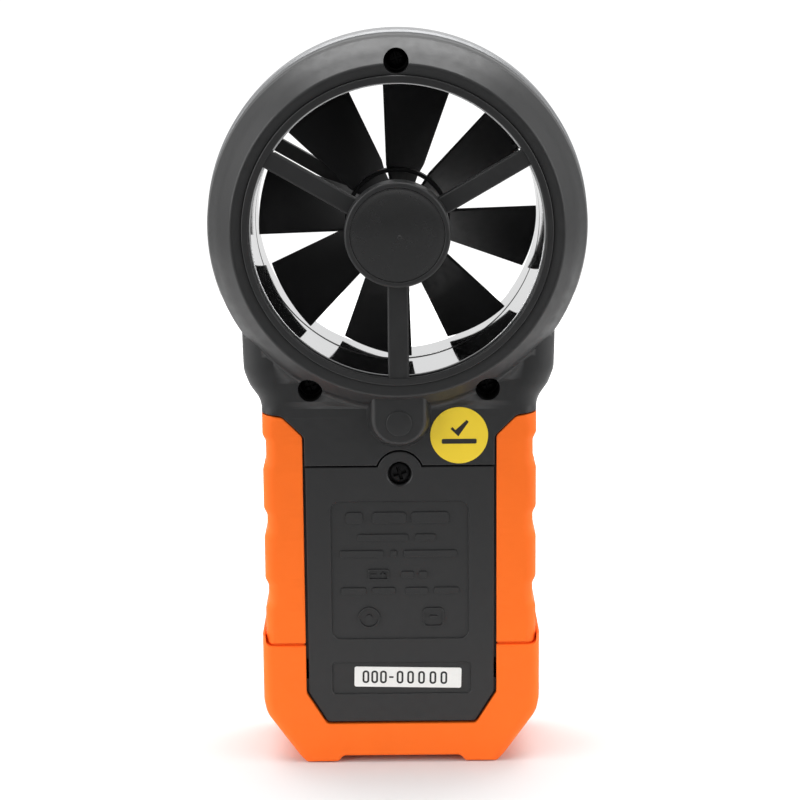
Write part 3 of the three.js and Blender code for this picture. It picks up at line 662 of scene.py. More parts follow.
def rear_shell():
    neck = cut(common(handle_body(), neck_region()), bore(RING_BORE))
    body = cut(common(join(neck, core_body()), half_space(True)), case_cavity())
    body = cut(body, bore(34.6), band_room())
    body = join(body, revolve(fillet(RING_PROFILE, 8)), ring_hollow(), cut(tongue(), bore(34.7)))
    # Battery bay with its locating ribs, and slots for the door's hooks.
    wall = 1.2
    body = join(body, common(bay(wall, CORE_REAR_Y + 1, BAY_FLOOR_Y + wall), half_space(True)))
    body = cut(body, bay(0, -20, BAY_FLOOR_Y))
    body = join(body, cut(bay(wall, 3, BAY_FLOOR_Y + wall), bay(0, 0, BAY_FLOOR_Y)))
    for side in (-1, 1):
        for z in (26, 48):
            body = join(body, side_box(side, 13.5, BAY_HALF + 0.5, REAR_FACE_Y + 7.2,
                                       BAY_FLOOR_Y + 0.5, z, z + 1.6))
        body = cut(body, side_box(side, 14.5, 17.1, CORE_REAR_Y + WALL, REAR_FACE_Y + 5.8,
                                  8.9, 11))
    # Pocket and screw hole for the door's lug, and the passage for the battery leads.
    body = join(body, rod(3.4, REAR_FACE_Y + 2.8, REAR_FACE_Y + 6, 0, DOOR_SCREW_Z + 0.6))
    body = cut(body, rod(LUG_RADIUS + 0.35, -13, REAR_FACE_Y + 2.7, 0, DOOR_SCREW_Z),
               rod(1.6, -20, REAR_FACE_Y + 5.3, 0, DOOR_SCREW_Z),
               box(-3.4, 3.4, -1.8, 2.2, BAY_Z[1] - 1, BAY_Z[1] + 2))
    for name, (boss, start, end, *_) in SCREW_SEATS.items():
        at = centre_mm(name)
        body = join(body, rod(boss, start, end, at.x, at.z))
        body = cut(body, rod(WELL_RADIUS, -20, -3.6, at.x, at.z), rod(1.45, -20, 10, at.x, at.z))
    # Channel for the pickup lead, from the bottom strut into the neck.
    return cut(body, box(-1.1, 1.1, -13.6, -8, 83.4, DUCT_Z - 31))


# ---- front housing
def front_opening(outline, y0, edge):
    """A hole in from the front face to y0, with a broken edge."""
    return loft(outline, [(0, y0), (0, FRONT_FACE_Y - edge), (edge, FRONT_FACE_Y), (edge, 30)])


def front_shell():
    ring = revolve(fillet([
        (RING_BORE, FRONT_SPLIT_Y), (RING_WALL, FRONT_SPLIT_Y), (RING_WALL, 15), (37.8, 15),
        (37.8, FRONT_SPLIT_Y), (39.2, FRONT_SPLIT_Y), (39.2, 11.3), (42, 11.3, 0.3), (42, 14, 2),
        (40.6, 16.9, 5), (37.2, 18.7, 3), (35.6, HEAD_FRONT_Y, 0.8), (34.05, 18.9, 0.25),
        (34.05, 17.3), (RING_BORE, 17.3),
    ], 8))
    region = mirrored([*SHOULDER, (27.8, 81.7, 2), (24, 78, 1.6), (24, 17, 1), (18, 8.5, 1)])
    face = common(handle_body(), slab(fillet(region), -30, FRONT_FACE_Y + 0.01, 0, 0.3, 3))
    body = common(join(face, core_body()), half_space(False))
    room = slab(mirrored([(22, 84), (22, 18), (17, 11)]), 0, FRONT_FACE_Y - WALL)
    body = cut(body, case_cavity(), cut(room, bore(RING_WALL)), bore(34.6), band_room())
    body = join(body, ring)
    # Display window with its ledge, and the key openings.
    seat = rounded_rect(-WINDOW_HALF - 0.3, WINDOW_HALF + 0.3, WINDOW_Z[0] - 0.3,
                        WINDOW_Z[1] + 0.3, 2.3)
    body = cut(body, front_opening(seat, FRONT_FACE_Y - 1.4, 0.25),
               slab(rounded_rect(-15.6, 15.6, 49, 73, 1.5), 10, 30))
    for name, (a, b) in KEYS.items():
        at = centre_mm(name)
        body = cut(body, front_opening(ellipse(at.x, at.z, a + 0.35, b + 0.35), 10, 0.3))
    for name, (*_, post, end) in SCREW_SEATS.items():
        at = centre_mm(name)
        body = join(body, rod(post, FRONT_SPLIT_Y, end, at.x, at.z))
        body = cut(body, rod(1.4, 0, 12.9, at.x, at.z))
    for x, z in ((-15, 12.5), (15, 12.5), (-15, 79), (15, 79)):
        body = join(body, rod(1.7, FRONT_FACE_Y - 4.9, FRONT_FACE_Y - 1, x, z))
    return body


# ---- duct
def head_band():
    profile = fillet([(39.5, 1.2), (42.0, 1.2, 0.4), (BAND_RADIUS, 2.2, 0.5),
                      (BAND_RADIUS, 10.0, 0.5), (42.0, 11, 0.4), (39.5, 11)], 5)
    return cut(revolve(profile), box(-60, 60, -20, 30, 60, 100.4))


def liner(y0, y1):
    return revolve(fillet([(DUCT_RADIUS, y0, 0.12), (LINER_BACK, y0), (LINER_BACK, y1),
                           (DUCT_RADIUS, y1, 0.12)], 4))


def seam_ring():
    """The dark line between the liner's halves."""
    half, inner = LINER_SEAM - 0.02, DUCT_RADIUS + 0.02
    y0, y1 = SPLIT_Y - half, SPLIT_Y + half
    return revolve([(inner, y0), (LINER_BACK, y0), (LINER_BACK, y1), (inner, y1)])


def rear_guard():
    body = revolve(fillet([(32.3, -15.4, 0.4), (33.93, -15.4, 0.3), (33.93, -13.9),
                           (32.3, -13.9, 0.3)]))
    for angle in STRUT_ANGLES:
        # The bottom strut is wider and deeper, for the pickup's lead.
        width, front = (4.6, -10) if angle == 270 else (4.0, -12.4)
        body = join(body, spoke(angle, 8, 31.6, width, -15, front, 0.5),
                    spoke(angle, 30, 33, width, -15, -13.9, 0.5))
    hub = revolve(fillet([
        (2.6, -16), (10.3, -16), (10.3, HUB_REAR_Y, 0.25), (11.5, HUB_REAR_Y, 0.7),
        (11.6, -14.6, 1), (10.4, -13), (9.6, -11.6), (9.2, -10), (6.2, -9.4), (5.2, -8.4),
        (4.6, 1.2), (2.6, 1.2),
    ]), 128)
    body = join(body, hub)
    return cut(body, rod(10.3, -25, -15.5, segments=128), rod(8.6, -25, -12.4),
               rod(3.3, -2.2, 5), rod(1.7, -30, 5),
               box(-1, 1, -13.8, -9, DUCT_Z - 32, DUCT_Z - 6.8))


def rear_hub_cap():
    """A shallow dish with a small dimple off its middle."""
    dish = [(0, -17.3), (10.27, -17.3), (10.27, -18.84), (10.18, -18.93), (10.0, -18.95),
            (9.8, -18.9)]
    for k in range(1, 25):
        radius = 9.6 * (1 - k / 24)
        dish.append((radius, -17.9 - 0.9 * (radius / 9.6) ** 2))
    cap = revolve(dish, 128)
    dimple = revolve([(0, -20), (0.45, -20), (0.45, -17.9), (0, -17.7)], 32, 0.5, DUCT_Z - 0.6)
    return cut(cap, dimple)


def front_guard():
    body = revolve(fillet([(32.3, 17.6), (33.7, 17.6), (33.7, 18.9, 0.35),
                           (32.3, 18.9, 0.35)], 5))
    for angle in STRUT_ANGLES:
        body = join(body, spoke(angle, 3, 31.5, 3.2, 16.5, 18.7, 0.3),
                    spoke(angle, 30, 33, 3.2, 17.6, 18.7, 0.3))
    hub = revolve(fillet([(0, 16.4), (6, 16.4, 0.3), (6, 18.2, 0.5), (5.4, 18.8, 0.5),
                          (0, 18.8)], 5), 96)
    return cut(join(body, hub), rod(2.9, 10, 18.1))


# ---- impeller
def blade(angle):
    """A twisted plate with rounded edges, which spread with radius and draw in inside the hoop."""
    spans, half, nose = 11, 0.42, 4
    sections = []
    for i in range(spans + 1):
        u = 4 + 29 * i / spans
        spread = 1.9 + 0.195 * u - (0.55 if u < HOOP_RADIUS else 0)
        rear, front = Vector((spread, ROTOR_Y[0])), Vector((-spread, ROTOR_Y[1]))
        chord = (front - rear).normalized()
        thick = half * (1 - 0.35 * i / spans)
        base = math.atan2(chord.y, chord.x)
        section = []
        for end, turn in ((rear + chord * thick, base + math.pi / 2),
                          (front - chord * thick, base - math.pi / 2)):
            for k in range(nose + 1):
                around = turn + math.pi * k / nose
                (x, z), = swung([(u, end.x + thick * math.cos(around))], math.radians(angle))
                section.append((x, end.y + thick * math.sin(around), z))
        sections.append(section)
    return stack(sections)


def vane():
    rear, front = ROTOR_Y
    body = revolve(fillet([
        (SHAFT_BORE, rear - 0.2), (5.4, rear - 0.2, 0.4), (6.4, rear + 1, 0.6),
        (6.4, front - 0.6, 0.4), (5.6, front + 0.3, 0.4), (SHAFT_BORE, front + 0.3),
    ], 5), 96)
    blades = [blade(BLADE_PHASE + 360 / BLADE_COUNT * i) for i in range(BLADE_COUNT)]
    inner, outer = HOOP_RADIUS, HOOP_RADIUS + 0.9
    hoop = revolve(fillet([(inner, 3.3, 0.25), (outer, 3.3, 0.25), (outer, 6, 0.25),
                           (inner, 6, 0.25)], 4), 128)
    body = common(join(body, *blades, hoop), bore(TIP_RADIUS, 0, 20))
    return cut(body, rod(SHAFT_BORE, 0, 20))


# ---- grips and boot
SCALLOPS = ((70.8, 75.8), (54.9, 58.7), (38.2, 42.2))
SCALLOP_HALF = 29.95


def scalloped_side():
    """The grip's outer edge with its thumb scallops, from the top down."""
    points = CASE_SIDE[:-1]
    for low, high in SCALLOPS:
        points += [(HANDLE_HALF, high + 1.5, 1.5), (SCALLOP_HALF, high, 2), (SCALLOP_HALF, low, 2),
                   (HANDLE_HALF, low - 1.5, 1.5)]
    return points + [(HANDLE_HALF, 8)]


def grip(side):
    """A side grip: the handle's rounded body inside the grip's own soft-edged outline."""
    low = SEAM_Z + SEAM_HALF
    wraps = []
    for inner, shoulder_z, top_x, y0, y1, rear, front in (
            (GRIP_INNER_X, 77.0, 26.05, REAR_FACE_Y - 0.01, 0.01, 0.4, 0),
            (GRIP_FRONT_X, 77.8, 27.9, 0, FRONT_FACE_Y + 0.01, 0, 0.4)):
        outline = [(inner, shoulder_z, 1.5), (top_x, 81.35, 2), (30.5, 81.95, 2), (40, 82),
                   (40, 30.75), (30.6, 30.75, 0.4), (30.42, low, 1.9), (inner, low)]
        wraps.append(slab(fillet(flipped(outline, side)), y0, y1, rear, front, 4))
    body = common(handle_body(scalloped_side()), join(*wraps))
    return common(cut(body, core_body(GAP)), side_box(side, 20, 60, -30, 30, 20, 90))


def boot():
    """Well rounded along its sides, and only a little round its bottom edges and feet."""
    rear, front, edge = REAR_FACE_Y - 0.3, FRONT_FACE_Y + 0.3, 0.35
    sides = fillet(mirrored([*BOOT_SIDE, (20.6, -3), (10, -3)]), 8)
    feet = fillet(mirrored([*BOOT_SIDE, *BOOT_FEET]), 8)
    top = fillet(mirrored([(30.75, SEAM_Z - SEAM_HALF, 2.2), (30.9, 30.35, 0.3), (40, 30.35),
                           (40, -5)]))
    body = common(slab(sides, rear, front, EDGE_RADIUS, EDGE_RADIUS, 8),
                  slab(feet, rear - 0.01, front + 0.01, 0.8, 0.8, 5),
                  slab(top, rear - 0.02, front + 0.02, 0.4, 0.4, 4))
    body = cut(body, core_body(GAP))
    for face, out, half in (
            (rear, -1, [(GRIP_INNER_X, 40), (GRIP_INNER_X, 16.7, 1.2), (17.05, 9.2, 1.2)]),
            (front, 1, [(GRIP_FRONT_X, 40), (GRIP_FRONT_X, 16.8, 1.2), (18.3, 8.1, 1.2)])):
        body = cut(body, loft(fillet(mirrored(half), 5), [
            (0, 0), (0, face - out * edge), (0.1, face - out * 0.1), (edge, face),
            (edge, out * 30)]))
    return body


def seam_filler():
    """The thin web of the same rubber at the bottom of the groove between grips and boot."""
    inset = 0.75
    body = column([(z, BOOT_HALF - inset, REAR_FACE_Y + inset, FRONT_FACE_Y - inset,
                    EDGE_RADIUS, EDGE_RADIUS, EDGE_RADIUS) for z in (20, 40)])
    inner, low, high = GRIP_INNER_X + 0.3, SEAM_Z - 1, SEAM_Z + 1
    outline = [(inner, low), (32, low), (32, 30.2), (29.6, 30.2), (29.6, high), (inner, high)]
    strips = join(*[slab(flipped(outline, side), -30, 30) for side in (1, -1)])
    return cut(common(body, strips), core_body(GAP))


# ---- battery door and marks
PANEL = (-15.6, 15.4, 29.6, 61.9)
LABEL_FRAME = (-15.7, 15.9, 16.4, 23.9)
# Plain raised bars that take the place of lettering: height on the door, bar height, X spans.
DOOR_BARS = (
    (58.1, 2.6, ((-12.2, -8.4), (-6.2, 1.4), (2.6, 11.0))),
    (53.5, 1.5, ((-9.6, 1.8), (3.4, 8.0))),
    (49.7, 1.5, ((-13.6, -3.8), (-2.2, -0.8), (0.8, 12.8))),
    (44.75, 1.5, ((0.2, 3.0), (4.2, 6.0))),
    (40.95, 1.5, ((-13.4, -7.8), (-6.4, -1.2), (1.2, 6.2), (7.6, 13.2))),
)


def door_marks(y0, y1):
    """Raised bars, a battery symbol and two plain mould marks, proud of the recessed panel."""
    marks = []
    for z, height, spans in DOOR_BARS:
        for x0, x1 in spans:
            outline = rounded_rect(x0, x1, z - height / 2, z + height / 2, height * 0.28, 4)
            marks.append(slab(outline, y0, y1, 0.08, 0, 2))
    marks.append(stroke(rounded_rect(-7.2, -2.8, 43.65, 45.85, 0.3, 2), 0.3, y0, y1, True))
    for bar in (((-6.6, 44.75), (-5.4, 44.75)), ((-4.6, 44.75), (-3.4, 44.75)),
                ((-4.0, 44.15), (-4.0, 45.35))):
        marks.append(stroke(bar, 0.3, y0 + 0.01, y1))
    marks.append(stroke(ellipse(-7.2, 34.6, 2.3, 2.3, 40), 0.32, y0, y1, True))
    marks.append(stroke(rounded_rect(5.2, 9.6, 32.5, 36.7, 0.8, 4), 0.32, y0, y1, True))
    marks.append(slab(ellipse(-7.2, 34.6, 0.7, 0.7, 24), y0, y1))
    marks.append(slab(rounded_rect(6.5, 8.3, 34.2, 35.0, 0.3, 3), y0, y1))
    return marks


def battery_door():
    face = REAR_FACE_Y
    back = face + DOOR_THICKNESS
    plate = slab(fillet(mirrored([(DOOR_HALF, DOOR_TOP_Z, 0.3), (DOOR_HALF, 16.9, 0.8),
                                  (16.75, DOOR_BOTTOM_Z, 0.8)]), 5), face, back, 0.25, 0, 4)
    lug_end = face + 2.4
    lug = revolve(fillet([(0, face), (LUG_RADIUS, face, 0.25), (LUG_RADIUS, lug_end),
                          (0, lug_end)], 4), 96, 0, DOOR_SCREW_Z)
    body = cut(join(plate, lug), box(-8, 8, back, -2, 50, BAY_Z[1] + 0.1))
    for *rect, radius in ((*PANEL, 2), (*LABEL_FRAME, 0.9)):
        body = cut(body, loft(rounded_rect(*rect, radius), [
            (0.12, face - 2), (0.12, face), (0, face + 0.12), (-0.1, face + 0.4)]))
    body = join(body, *door_marks(face + 0.08, face + 0.6))
    well = revolve([(0, -20), (2.95, -20), (2.95, face), (2.7, face + 0.25), (2.7, face + 1.8),
                    (0, face + 1.8)], SMALL_CIRCLE, 0, DOOR_SCREW_Z)
    body = cut(body, well, rod(1.5, -20, 0, 0, DOOR_SCREW_Z))
    # Hooks, and stiffening ribs on the inner face, clear of the battery.
    for side in (-1, 1):
        body = join(body, side_box(side, 14.8, 16.8, face + 1, face + 5.3, 11.2, 12.4),
                    side_box(side, 14.8, 16.8, face + 4.2, face + 5.3, 9.5, 12.4),
                    side_box(side, 19.25, 19.95, back - 0.2, back + 0.45, 22, 64))
    return body


def battery_pad():
    """A thin foam pad on the door's inner face that steadies the battery."""
    back = REAR_FACE_Y + DOOR_THICKNESS
    return slab(rounded_rect(-9, 9, 26, 40, 1, 4), back - 0.05, back + 0.6, 0, 0.25, 3)


def cross_screw(name, head_depth, shank_radius):
    """A pan-head screw with a tapered cross recess, its head to the rear."""
    at, head = centre_mm(name), SCREW_HEAD_RADIUS
    head_y, tip_y = (corner.y for corner in box_mm(name))
    neck = head_y + head_depth
    body = revolve(fillet([
        (0, head_y), (head * 0.6, head_y + 0.02, 1.5), (head, head_y + 0.45, 0.4),
        (head, neck, 0.1), (shank_radius, neck, 0.1), (shank_radius, tip_y - 0.6),
        (shank_radius * 0.55, tip_y), (0, tip_y),
    ], 5), 48, at.x, at.z)
    arm, half = head * 0.66, 0.36
    corners = [(-arm, -half), (arm, -half), (arm, half), (-arm, half)]
    for turn in (0.3, 0.3 + math.pi / 2):
        body = cut(body, loft(swung(corners, turn, at.x, at.z), [
            (0.05, head_y - 1), (0.05, head_y), (-0.12, head_y + head_depth * 0.75)]))
    return body


# ---- battery and its connector
def tube(route, radius):
    """A round lead along a smooth route of points in millimetres."""
    curve = bpy.data.curves.new("lead", "CURVE")
    curve.dimensions = "3D"
    curve.bevel_depth = radius
    curve.bevel_resolution = 4
    curve.use_fill_caps = True
    spline = curve.splines.new("NURBS")
    spline.points.add(len(route) - 1)
    for point, at in zip(spline.points, route):
        point.co = (*at, 1)
    spline.order_u = 4
    spline.use_endpoint_u = True
    spline.resolution_u = 8
    obj = add("lead", curve)
    mesh = evaluated_mesh(obj)
    bpy.data.objects.remove(obj)
    return add("lead", mesh)


def upright(outline, z0, z1, low=0.0, high=0.0):
    """An outline of (x, y) raised from z0 to z1, with rounded bottom and top edges."""
    made = slab(outline, z0, z1, low, high, 4)
    made.data.transform(Matrix(((1, 0, 0, 0), (0, 0, 1, 0), (0, 1, 0, 0), (0, 0, 0, 1))))
    made.data.flip_normals()
    return made


def disc_outline(x, y, radius):
    return ellipse(x, y, radius, radius, 48)


def battery_outline(inset, radius):
    lo, hi = box_mm("battery_9v")
    return rounded_rect(lo.x + inset, hi.x - inset, lo.y + inset, hi.y - inset, radius)


def battery_parts():
    lo, hi = box_mm("battery_9v")
    y, stud_x, can_top = (lo.y + hi.y) / 2, 6.35, hi.z - 2.2
    jacket = upright(battery_outline(0, 2.2), lo.z + 0.8, can_top - 0.8)
    end = battery_outline(0.15, 2.1)
    top = upright(end, can_top - 0.9, can_top, 0, 0.5)
    base = upright(end, lo.z, lo.z + 0.9, 0.5, 0)
    low = can_top - 0.1
    small = join(upright(disc_outline(-stud_x, y, 2.8), low, can_top + 1.9, 0, 0.4),
                 upright(disc_outline(-stud_x, y, 3.3), low, can_top + 0.35))
    flower = []
    for t in [2 * math.pi * k / 72 for k in range(72)]:
        radius = 3.6 + 0.25 * math.cos(6 * t)
        flower.append((stud_x + radius * math.cos(t), y + radius * math.sin(t)))
    large = cut(upright(flower, low, can_top + 1.7, 0, 0.3),
                upright(disc_outline(stud_x, y, 2.9), can_top + 0.4, can_top + 4))
    return jacket, join(top, small, large), base


def battery_bands():
    """Plain printed bands on the battery's jacket, proud by the ink's thickness."""
    lo, hi = box_mm("battery_9v")
    return cut(upright(battery_outline(-0.03, 2.22), lo.z + 3, lo.z + 13),
               upright(battery_outline(0.3, 2), lo.z, hi.z))


def snap_parts():
    plate = upright(rounded_rect(-12.4, 12.4, -5.4, 6, 2.4), 61.6, 64.4, 0.4, 1.0)
    leads = [tube([(x, 0.2, 63.4), (x, 0.2, 66.5), (x, 0.4, 69.4), (x, 3.2, 72.4),
                   (x, 7.2, 73.6), (x, 10.9, 73.8)], 0.7) for x in (-1.8, 1.8)]
    collar = upright(rounded_rect(-3.3, 3.3, -1.0, 1.4, 1), 64, 65.6, 0, 0.4)
    return join(plate, collar), leads


# ---- display, keys and board
def digit(x, z, lit, y0, y1):
    """A seven-segment figure as solid bars. lit names the segments, a to g."""
    w, h, gap, half = 2.1, 4.2, 0.14, 0.425
    runs = {"a": ((-w, h), (w, h)), "b": ((w, h), (w, 0)), "c": ((w, 0), (w, -h)),
            "d": ((-w, -h), (w, -h)), "e": ((-w, 0), (-w, -h)), "f": ((-w, h), (-w, 0)),
            "g": ((-w, 0), (w, 0))}
    lean = Matrix(((1, 0.08), (0, 1)))
    bars = []
    for name in lit:
        start, end = (Vector(point) for point in runs[name])
        along = (end - start).normalized()
        side = Vector((-along.y, along.x)) * half
        tips = [start + along * gap, end - along * gap]
        inner = [tips[0] + along * half, tips[1] - along * half]
        corners = [tips[0], inner[0] - side, inner[1] - side, tips[1], inner[1] + side,
                   inner[0] + side]
        bars.append(slab([(x - (lean @ p).x, z + (lean @ p).y) for p in corners], y0, y1))
    return bars


def display_marks(y0, y1):
    """Figures and level bars of the display, mirrored in X so that they read from the front."""
    marks = []
    for x in (8.2, 1.4, -7.0):
        marks += digit(x, 59.4, "abcdef", y0, y1)
    marks.append(slab(rounded_rect(-3.1, -2.2, 54.9, 55.8, 0.2, 3), y0, y1))
    for k in range(8):
        x, top = 12 - 1.6 * k, 69.8 + 0.25 * k
        marks.append(slab([(x, 68.6), (x + 0.9, 68.6), (x + 0.9, top), (x, top)], y0, y1))
    marks.append(stroke(rounded_rect(-13.4, -9.6, 68.8, 70.6, 0.3, 2), 0.28, y0, y1, True))
    marks.append(slab(rounded_rect(-12.9, -11.2, 69.2, 70.2, 0.1, 2), y0, y1))
    return join(*marks)


def display_carrier(lo, hi):
    """The display's dark frame round its glass."""
    outer = slab(rounded_rect(lo.x, hi.x, lo.z, hi.z, 0.8, 4), lo.y, hi.y, 0, 0.3)
    return cut(outer, slab(rounded_rect(-15.0, 15.0, 49.6, 72.4, 0.4, 3), hi.y - 0.6, hi.y + 2))


def window_mask():
    """The printed border behind the clear window."""
    outer = rounded_rect(-WINDOW_HALF + 0.3, WINDOW_HALF - 0.3, WINDOW_Z[0] + 0.3,
                         WINDOW_Z[1] - 0.3, 1.8)
    band = slab(outer, FRONT_FACE_Y - 1.38, FRONT_FACE_Y - 1.24)
    return cut(band, slab(rounded_rect(-15.2, 15.2, 49.4, 72.6, 1.2), 10, 20))


def key_cap(name):
    lo, hi = box_mm(name)
    at = (lo + hi) / 2
    a, b = KEYS[name]
    steps = [(0, 0.9), (-0.12, 0.45), (-0.4, 0.16), (-0.85, 0.03), (-1.5, 0.12), (-2.2, 0.2)]
    cap = loft(ellipse(at.x, at.z, a, b, 96),
               [(0, lo.y)] + [(grow, hi.y - below) for grow, below in steps])
    return join(cap, loft(ellipse(at.x, at.z, a + 0.9, b + 0.9, 96), [(0, lo.y), (0, lo.y + 1.2)]))


def polar(radius, turn):
    return radius * math.cos(turn), radius * math.sin(turn)


# The width of each key's sign and its lines, as (x, z) from the key's middle, seen from the front.
KEY_SIGNS = {
    "key_hold": (0.34, [[(x, -1), (x, 1)] for x in (-0.7, 0.7)]),
    "key_max_min": (0.34, [[(-1.1, 0.25 * up), (0, 1.15 * up), (1.1, 0.25 * up)]
                           for up in (1, -1)]),
    "key_unit": (0.34, [[(-1.2, z), (1.2, z)] for z in (-0.8, 0, 0.8)]),
    "key_light": (0.26, [[polar(r, math.pi * k / 4) for r in (0.95, 1.4)] for k in range(8)]),
    "key_power": (0.34, [[polar(1.3, math.radians(120 + 300 * k / 24)) for k in range(25)],
                         [(0, 0.3), (0, 1.6)]]),
}


def key_sign(name):
    """A plain sign on each key."""
    lo, hi = box_mm(name)
    at = (lo + hi) / 2
    y0, y1 = hi.y - 0.3, hi.y - 0.14
    width, lines = KEY_SIGNS[name]
    bars = [stroke([(at.x - x, at.z + z) for x, z in line], width, y0, y1) for line in lines]
    if name == "key_light":
        bars.append(stroke(ellipse(at.x, at.z, 0.55, 0.55, 24), 0.3, y0, y1, True))
    return join(*bars)


# ---- stickers
def inspection_sticker():
    at = centre_mm("inspection_sticker")
    y0, y1 = REAR_FACE_Y - 0.16, REAR_FACE_Y - 0.005
    return revolve(fillet([(0, y0), (6.45, y0, 0.05), (6.45, y1), (0, y1)], 2), 128, at.x, at.z)


def inspection_marks():
    """A tick over a plain bar."""
    at = centre_mm("inspection_sticker")
    y0, y1 = REAR_FACE_Y - 0.19, REAR_FACE_Y - 0.15
    tick = stroke([(at.x - 1.7, at.z + 1.7), (at.x - 0.5, at.z + 0.5), (at.x + 1.9, at.z + 3.3)],
                  0.62, y0, y1)
    bar = slab(rounded_rect(at.x - 3.9, at.x + 3.9, at.z - 1.9, at.z - 0.8, 0.3, 3), y0, y1)
    return join(tick, bar)


LABEL_TILT = math.radians(-1.2)


def tilted(obj, at):
    """Turns a label's piece by the small angle at which the label was stuck on."""
    turn = Matrix.Rotation(LABEL_TILT, 4, Vector((0, -1, 0)))
    obj.data.transform(Matrix.Translation(at) @ turn @ Matrix.Translation(-at))
    return obj


def serial_label():
    at = centre_mm("serial_label")
    outline = rounded_rect(at.x - 12.2, at.x + 12.2, at.z - 2.4, at.z + 2.4, 0.45, 4)
    return tilted(slab(outline, at.y - 0.06, at.y + 0.14, 0.04, 0, 2), at)


def serial_marks():
    """Eight zeros with a dash, as plain printed figures."""
    at = centre_mm("serial_label")
    y0, y1 = at.y - 0.08, at.y - 0.05
    figures = []
    for k, x in enumerate((-9.6, -7.6, -5.6, -3.8, -1.8, 0.6, 3.1, 5.7, 8.2)):
        if k == 3:
            figures.append(stroke([(at.x + x - 0.5, at.z), (at.x + x + 0.5, at.z)], 0.4, y0, y1))
            continue
        outline = rounded_rect(at.x + x - 0.55, at.x + x + 0.55, at.z - 1.3, at.z + 1.3, 0.5, 5)
        figures.append(stroke(outline, 0.44, y0, y1, True))
    return tilted(join(*figures), at)


# ---- build
def build():
    piece(rear_shell(), "rear_shell", "case", node="rear_housing")
    piece(front_shell(), "front_shell", "case", node="front_housing")
    piece(head_band(), "silver_band", "band", node="head_band")
    piece(liner(-13.3, SPLIT_Y - LINER_SEAM), "duct_liner_rear", "liner", node="liner_rear")
    piece(liner(SPLIT_Y + LINER_SEAM, 17), "duct_liner_front", "liner", node="liner_front")
    piece(seam_ring(), "duct_seam_ring", "vane")
    piece(rear_guard(), "guard_rear", "guard", node="rear_guard")
    piece(rear_hub_cap(), "hub_cap", "cap", node="rear_hub_cap")
    piece(front_guard(), "guard_front", "guard", node="front_guard")
    piece(vane(), "vane_wheel", "vane", "vane", "vane")

    for side, name in ((-1, "left_grip"), (1, "right_grip")):
        piece(grip(side), name + "_rubber", "grip", node=name, sharp=40)
    piece(boot(), "bottom_boot_rubber", "grip", node="bottom_boot", sharp=40)
    piece(seam_filler(), "grip_seam_web", "grip", slot="grip", sharp=40)

    piece(battery_door(), "door_panel", "door", "door", "battery_door")
    piece(battery_pad(), "door_pad", "foam", "door")
    piece(cross_screw("door_screw", 1.15, 1.1), "door_screw_steel", "black_steel",
          "door_screw", "door_screw")
    for name in SCREW_SEATS:
        piece(cross_screw(name, 1.7, 1.05), name + "_steel", "black_steel", node=name)

    jacket, ends, base = battery_parts()
    piece(jacket, "battery_jacket", "battery", node="battery_9v")
    piece(ends, "battery_top", "battery_trim")
    piece(base, "battery_base", "battery_trim")
    piece(battery_bands(), "battery_bands", "battery_trim")
    plate, leads = snap_parts()
    piece(plate, "battery_clip", "snap", node="battery_snap")
    piece(leads[0], "battery_lead_black", "black_lead")
    piece(leads[1], "battery_lead_red", "red_lead")

    lo, hi = box_mm("display_module")
    piece(display_carrier(lo, hi), "display_carrier", "bezel", node="display_module",
          slot="display")
    piece(slab(rounded_rect(-14.9, 14.9, 49.7, 72.3, 0.3, 3), hi.y - 0.58, hi.y - 0.1),
          "display_pane", "display", slot="display")
    piece(display_marks(hi.y - 0.12, hi.y - 0.04), "display_figures", "segment")
    pane = rounded_rect(-WINDOW_HALF, WINDOW_HALF, *WINDOW_Z, 2)
    piece(slab(pane, FRONT_FACE_Y - 1.2, FRONT_FACE_Y - 0.1, 0.2, 0.3, 4), "clear_window",
          "window", node="display_window")
    piece(window_mask(), "window_border", "bezel")
    for name in KEYS:
        look = "key_power" if name == "key_power" else "key"
        piece(key_cap(name), name + "_cap", look, name, name)
        piece(key_sign(name), name + "_sign", "ink", name)

    piece(inspection_sticker(), "round_sticker", "yellow", node="inspection_sticker")
    piece(inspection_marks(), "round_sticker_marks", "black_ink")
    piece(serial_label(), "number_label", "white", "door", "serial_label")
    piece(serial_marks(), "number_label_marks", "black_ink", "door")

    for node, look in CARRIED_LOOKS.items():
        dress(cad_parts[node].data, look)


# ---- studio
def area_light(name, at, target, size, power):
    data = bpy.data.lights.new(name, "AREA")
    data.shape = "RECTANGLE"
    data.size, data.size_y = size
    data.energy = power
    light = add(name, data)
    light.location = at
    light.rotation_euler = (Vector(target) - Vector(at)).to_track_quat("-Z", "Y").to_euler()
    light.visible_camera = False


def by_ray(tree, lighting, seen):
    """One shader for the light that reaches things, and another for what the camera sees."""
    camera = add_node(tree, "LightPath", {}, "Is Camera Ray")
    return add_node(tree, "MixShader", {"Fac": camera, 1: lighting, 2: seen})


def studio_world():
    """White all round, dimmer as a light source on the side that the battery door faces."""
    world = bpy.data.worlds.new("studio")
    bpy.context.scene.world = world
    world.use_nodes = True
    tree, white = world.node_tree, (1, 1, 1, 1)
    tree.nodes.clear()
    direction = add_node(tree, "TexCoord", {}, "Generated")
    y = add_node(tree, "SeparateXYZ", {"Vector": direction}, "Y")
    lighting = add_node(tree, "Background", {"Color": white,
                                             "Strength": ramp(tree, y, -0.9, 0.3, 0.34, 0.8)})
    seen = add_node(tree, "Background", {"Color": white, "Strength": 1.1})
    add_node(tree, "OutputWorld", {"Surface": by_ray(tree, lighting, seen)})


FLOOR_RADIUS = 0.6


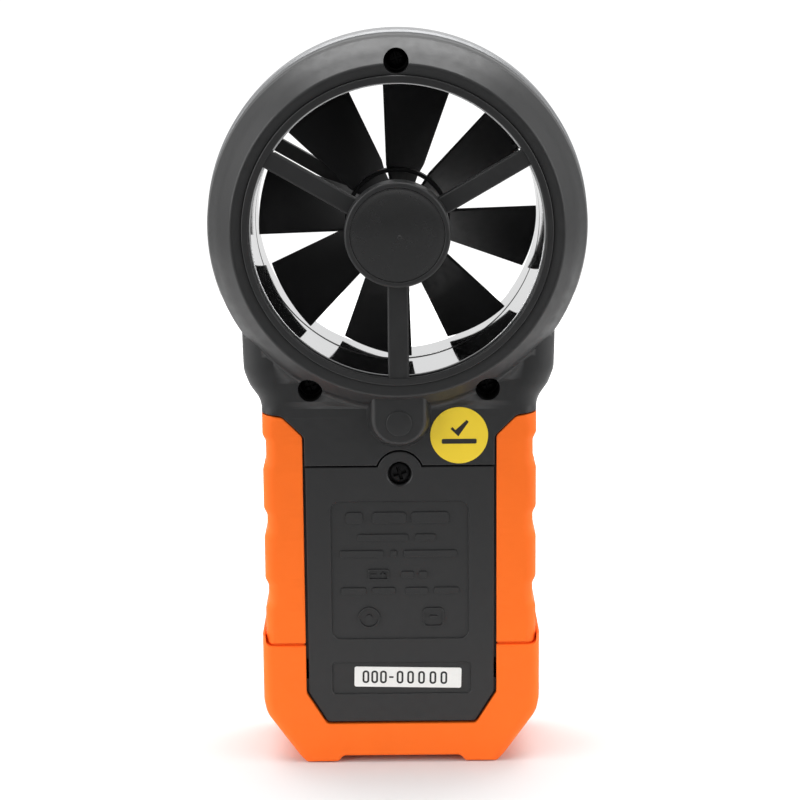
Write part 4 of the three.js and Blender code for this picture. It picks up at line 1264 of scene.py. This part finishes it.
def floor_material():
    """Pale near the object, where its soft shadow falls, and fading to white further out. In
    reflections it is darker before the object and far to its sides, so that its glare doesn't
    lift the black plastic."""
    made = bpy.data.materials.new("floor_pale")
    made.use_nodes = True
    tree = made.node_tree
    tree.nodes.clear()
    place = add_node(tree, "TexCoord", {}, "Object")
    y = add_node(tree, "SeparateXYZ", {"Vector": place}, "Y")
    distance = add_node(tree, "VectorMath", {0: place}, "Value", operation="LENGTH")

    pale = add_node(tree, "BsdfDiffuse", {"Color": (0.66, 0.66, 0.66, 1)})
    glow = add_node(tree, "Emission", {"Strength": ramp(tree, distance, 0.1, 0.3, 0.0, 0.6)})
    seen = add_node(tree, "AddShader", {0: pale, 1: glow})

    grey = add_node(tree, "Math", {0: ramp(tree, y, -0.24, -0.03, 0.14, 0.82),
                                   1: ramp(tree, distance, 0.36, 0.56, 1.0, 0.35)},
                    operation="MULTIPLY")
    reflected = add_node(tree, "BsdfDiffuse", {"Color": grey})
    add_node(tree, "OutputMaterial", {"Surface": by_ray(tree, reflected, seen)})
    return made


def studio_floor():
    mesh = bpy.data.meshes.new("floor")
    rim = ellipse(0, 0, FLOOR_RADIUS, FLOOR_RADIUS, 96)
    mesh.from_pydata([(x, y, 0) for x, y in rim], [], [tuple(range(len(rim)))])
    mesh.materials.append(floor_material())
    floor = add("floor", mesh)
    floor.location.z = -0.0001


def studio_camera():
    """The viewing angle: half a metre behind the object, looking a little down at it."""
    data = bpy.data.cameras.new("camera")
    data.sensor_width = 36
    data.lens = 104.9
    data.clip_start, data.clip_end = 0.02, 20
    camera = add("camera", data)
    camera.rotation_mode = "QUATERNION"
    camera.location = (0.0005, -0.5154, 0.20055)
    turn = (Matrix.Rotation(math.radians(0.03), 3, "Z")
            @ Matrix.Rotation(math.radians(90 - 12.86), 3, "X")
            @ Matrix.Rotation(math.radians(-0.5), 3, "Z"))
    camera.rotation_quaternion = turn.to_quaternion()
    bpy.context.scene.camera = camera


def studio():
    studio_world()
    studio_floor()
    studio_camera()
    middle = (0, 0, 0.09)
    area_light("top_soft", (0, 0.25, 1.1), middle, (1.3, 0.9), 19)
    area_light("left_soft", (-1.0, -0.4, 0.45), middle, (0.8, 0.9), 8)
    area_light("right_soft", (1.0, -0.4, 0.45), middle, (0.8, 0.9), 6)
    bpy.context.scene.view_settings.view_transform = "Standard"


build()
studio()
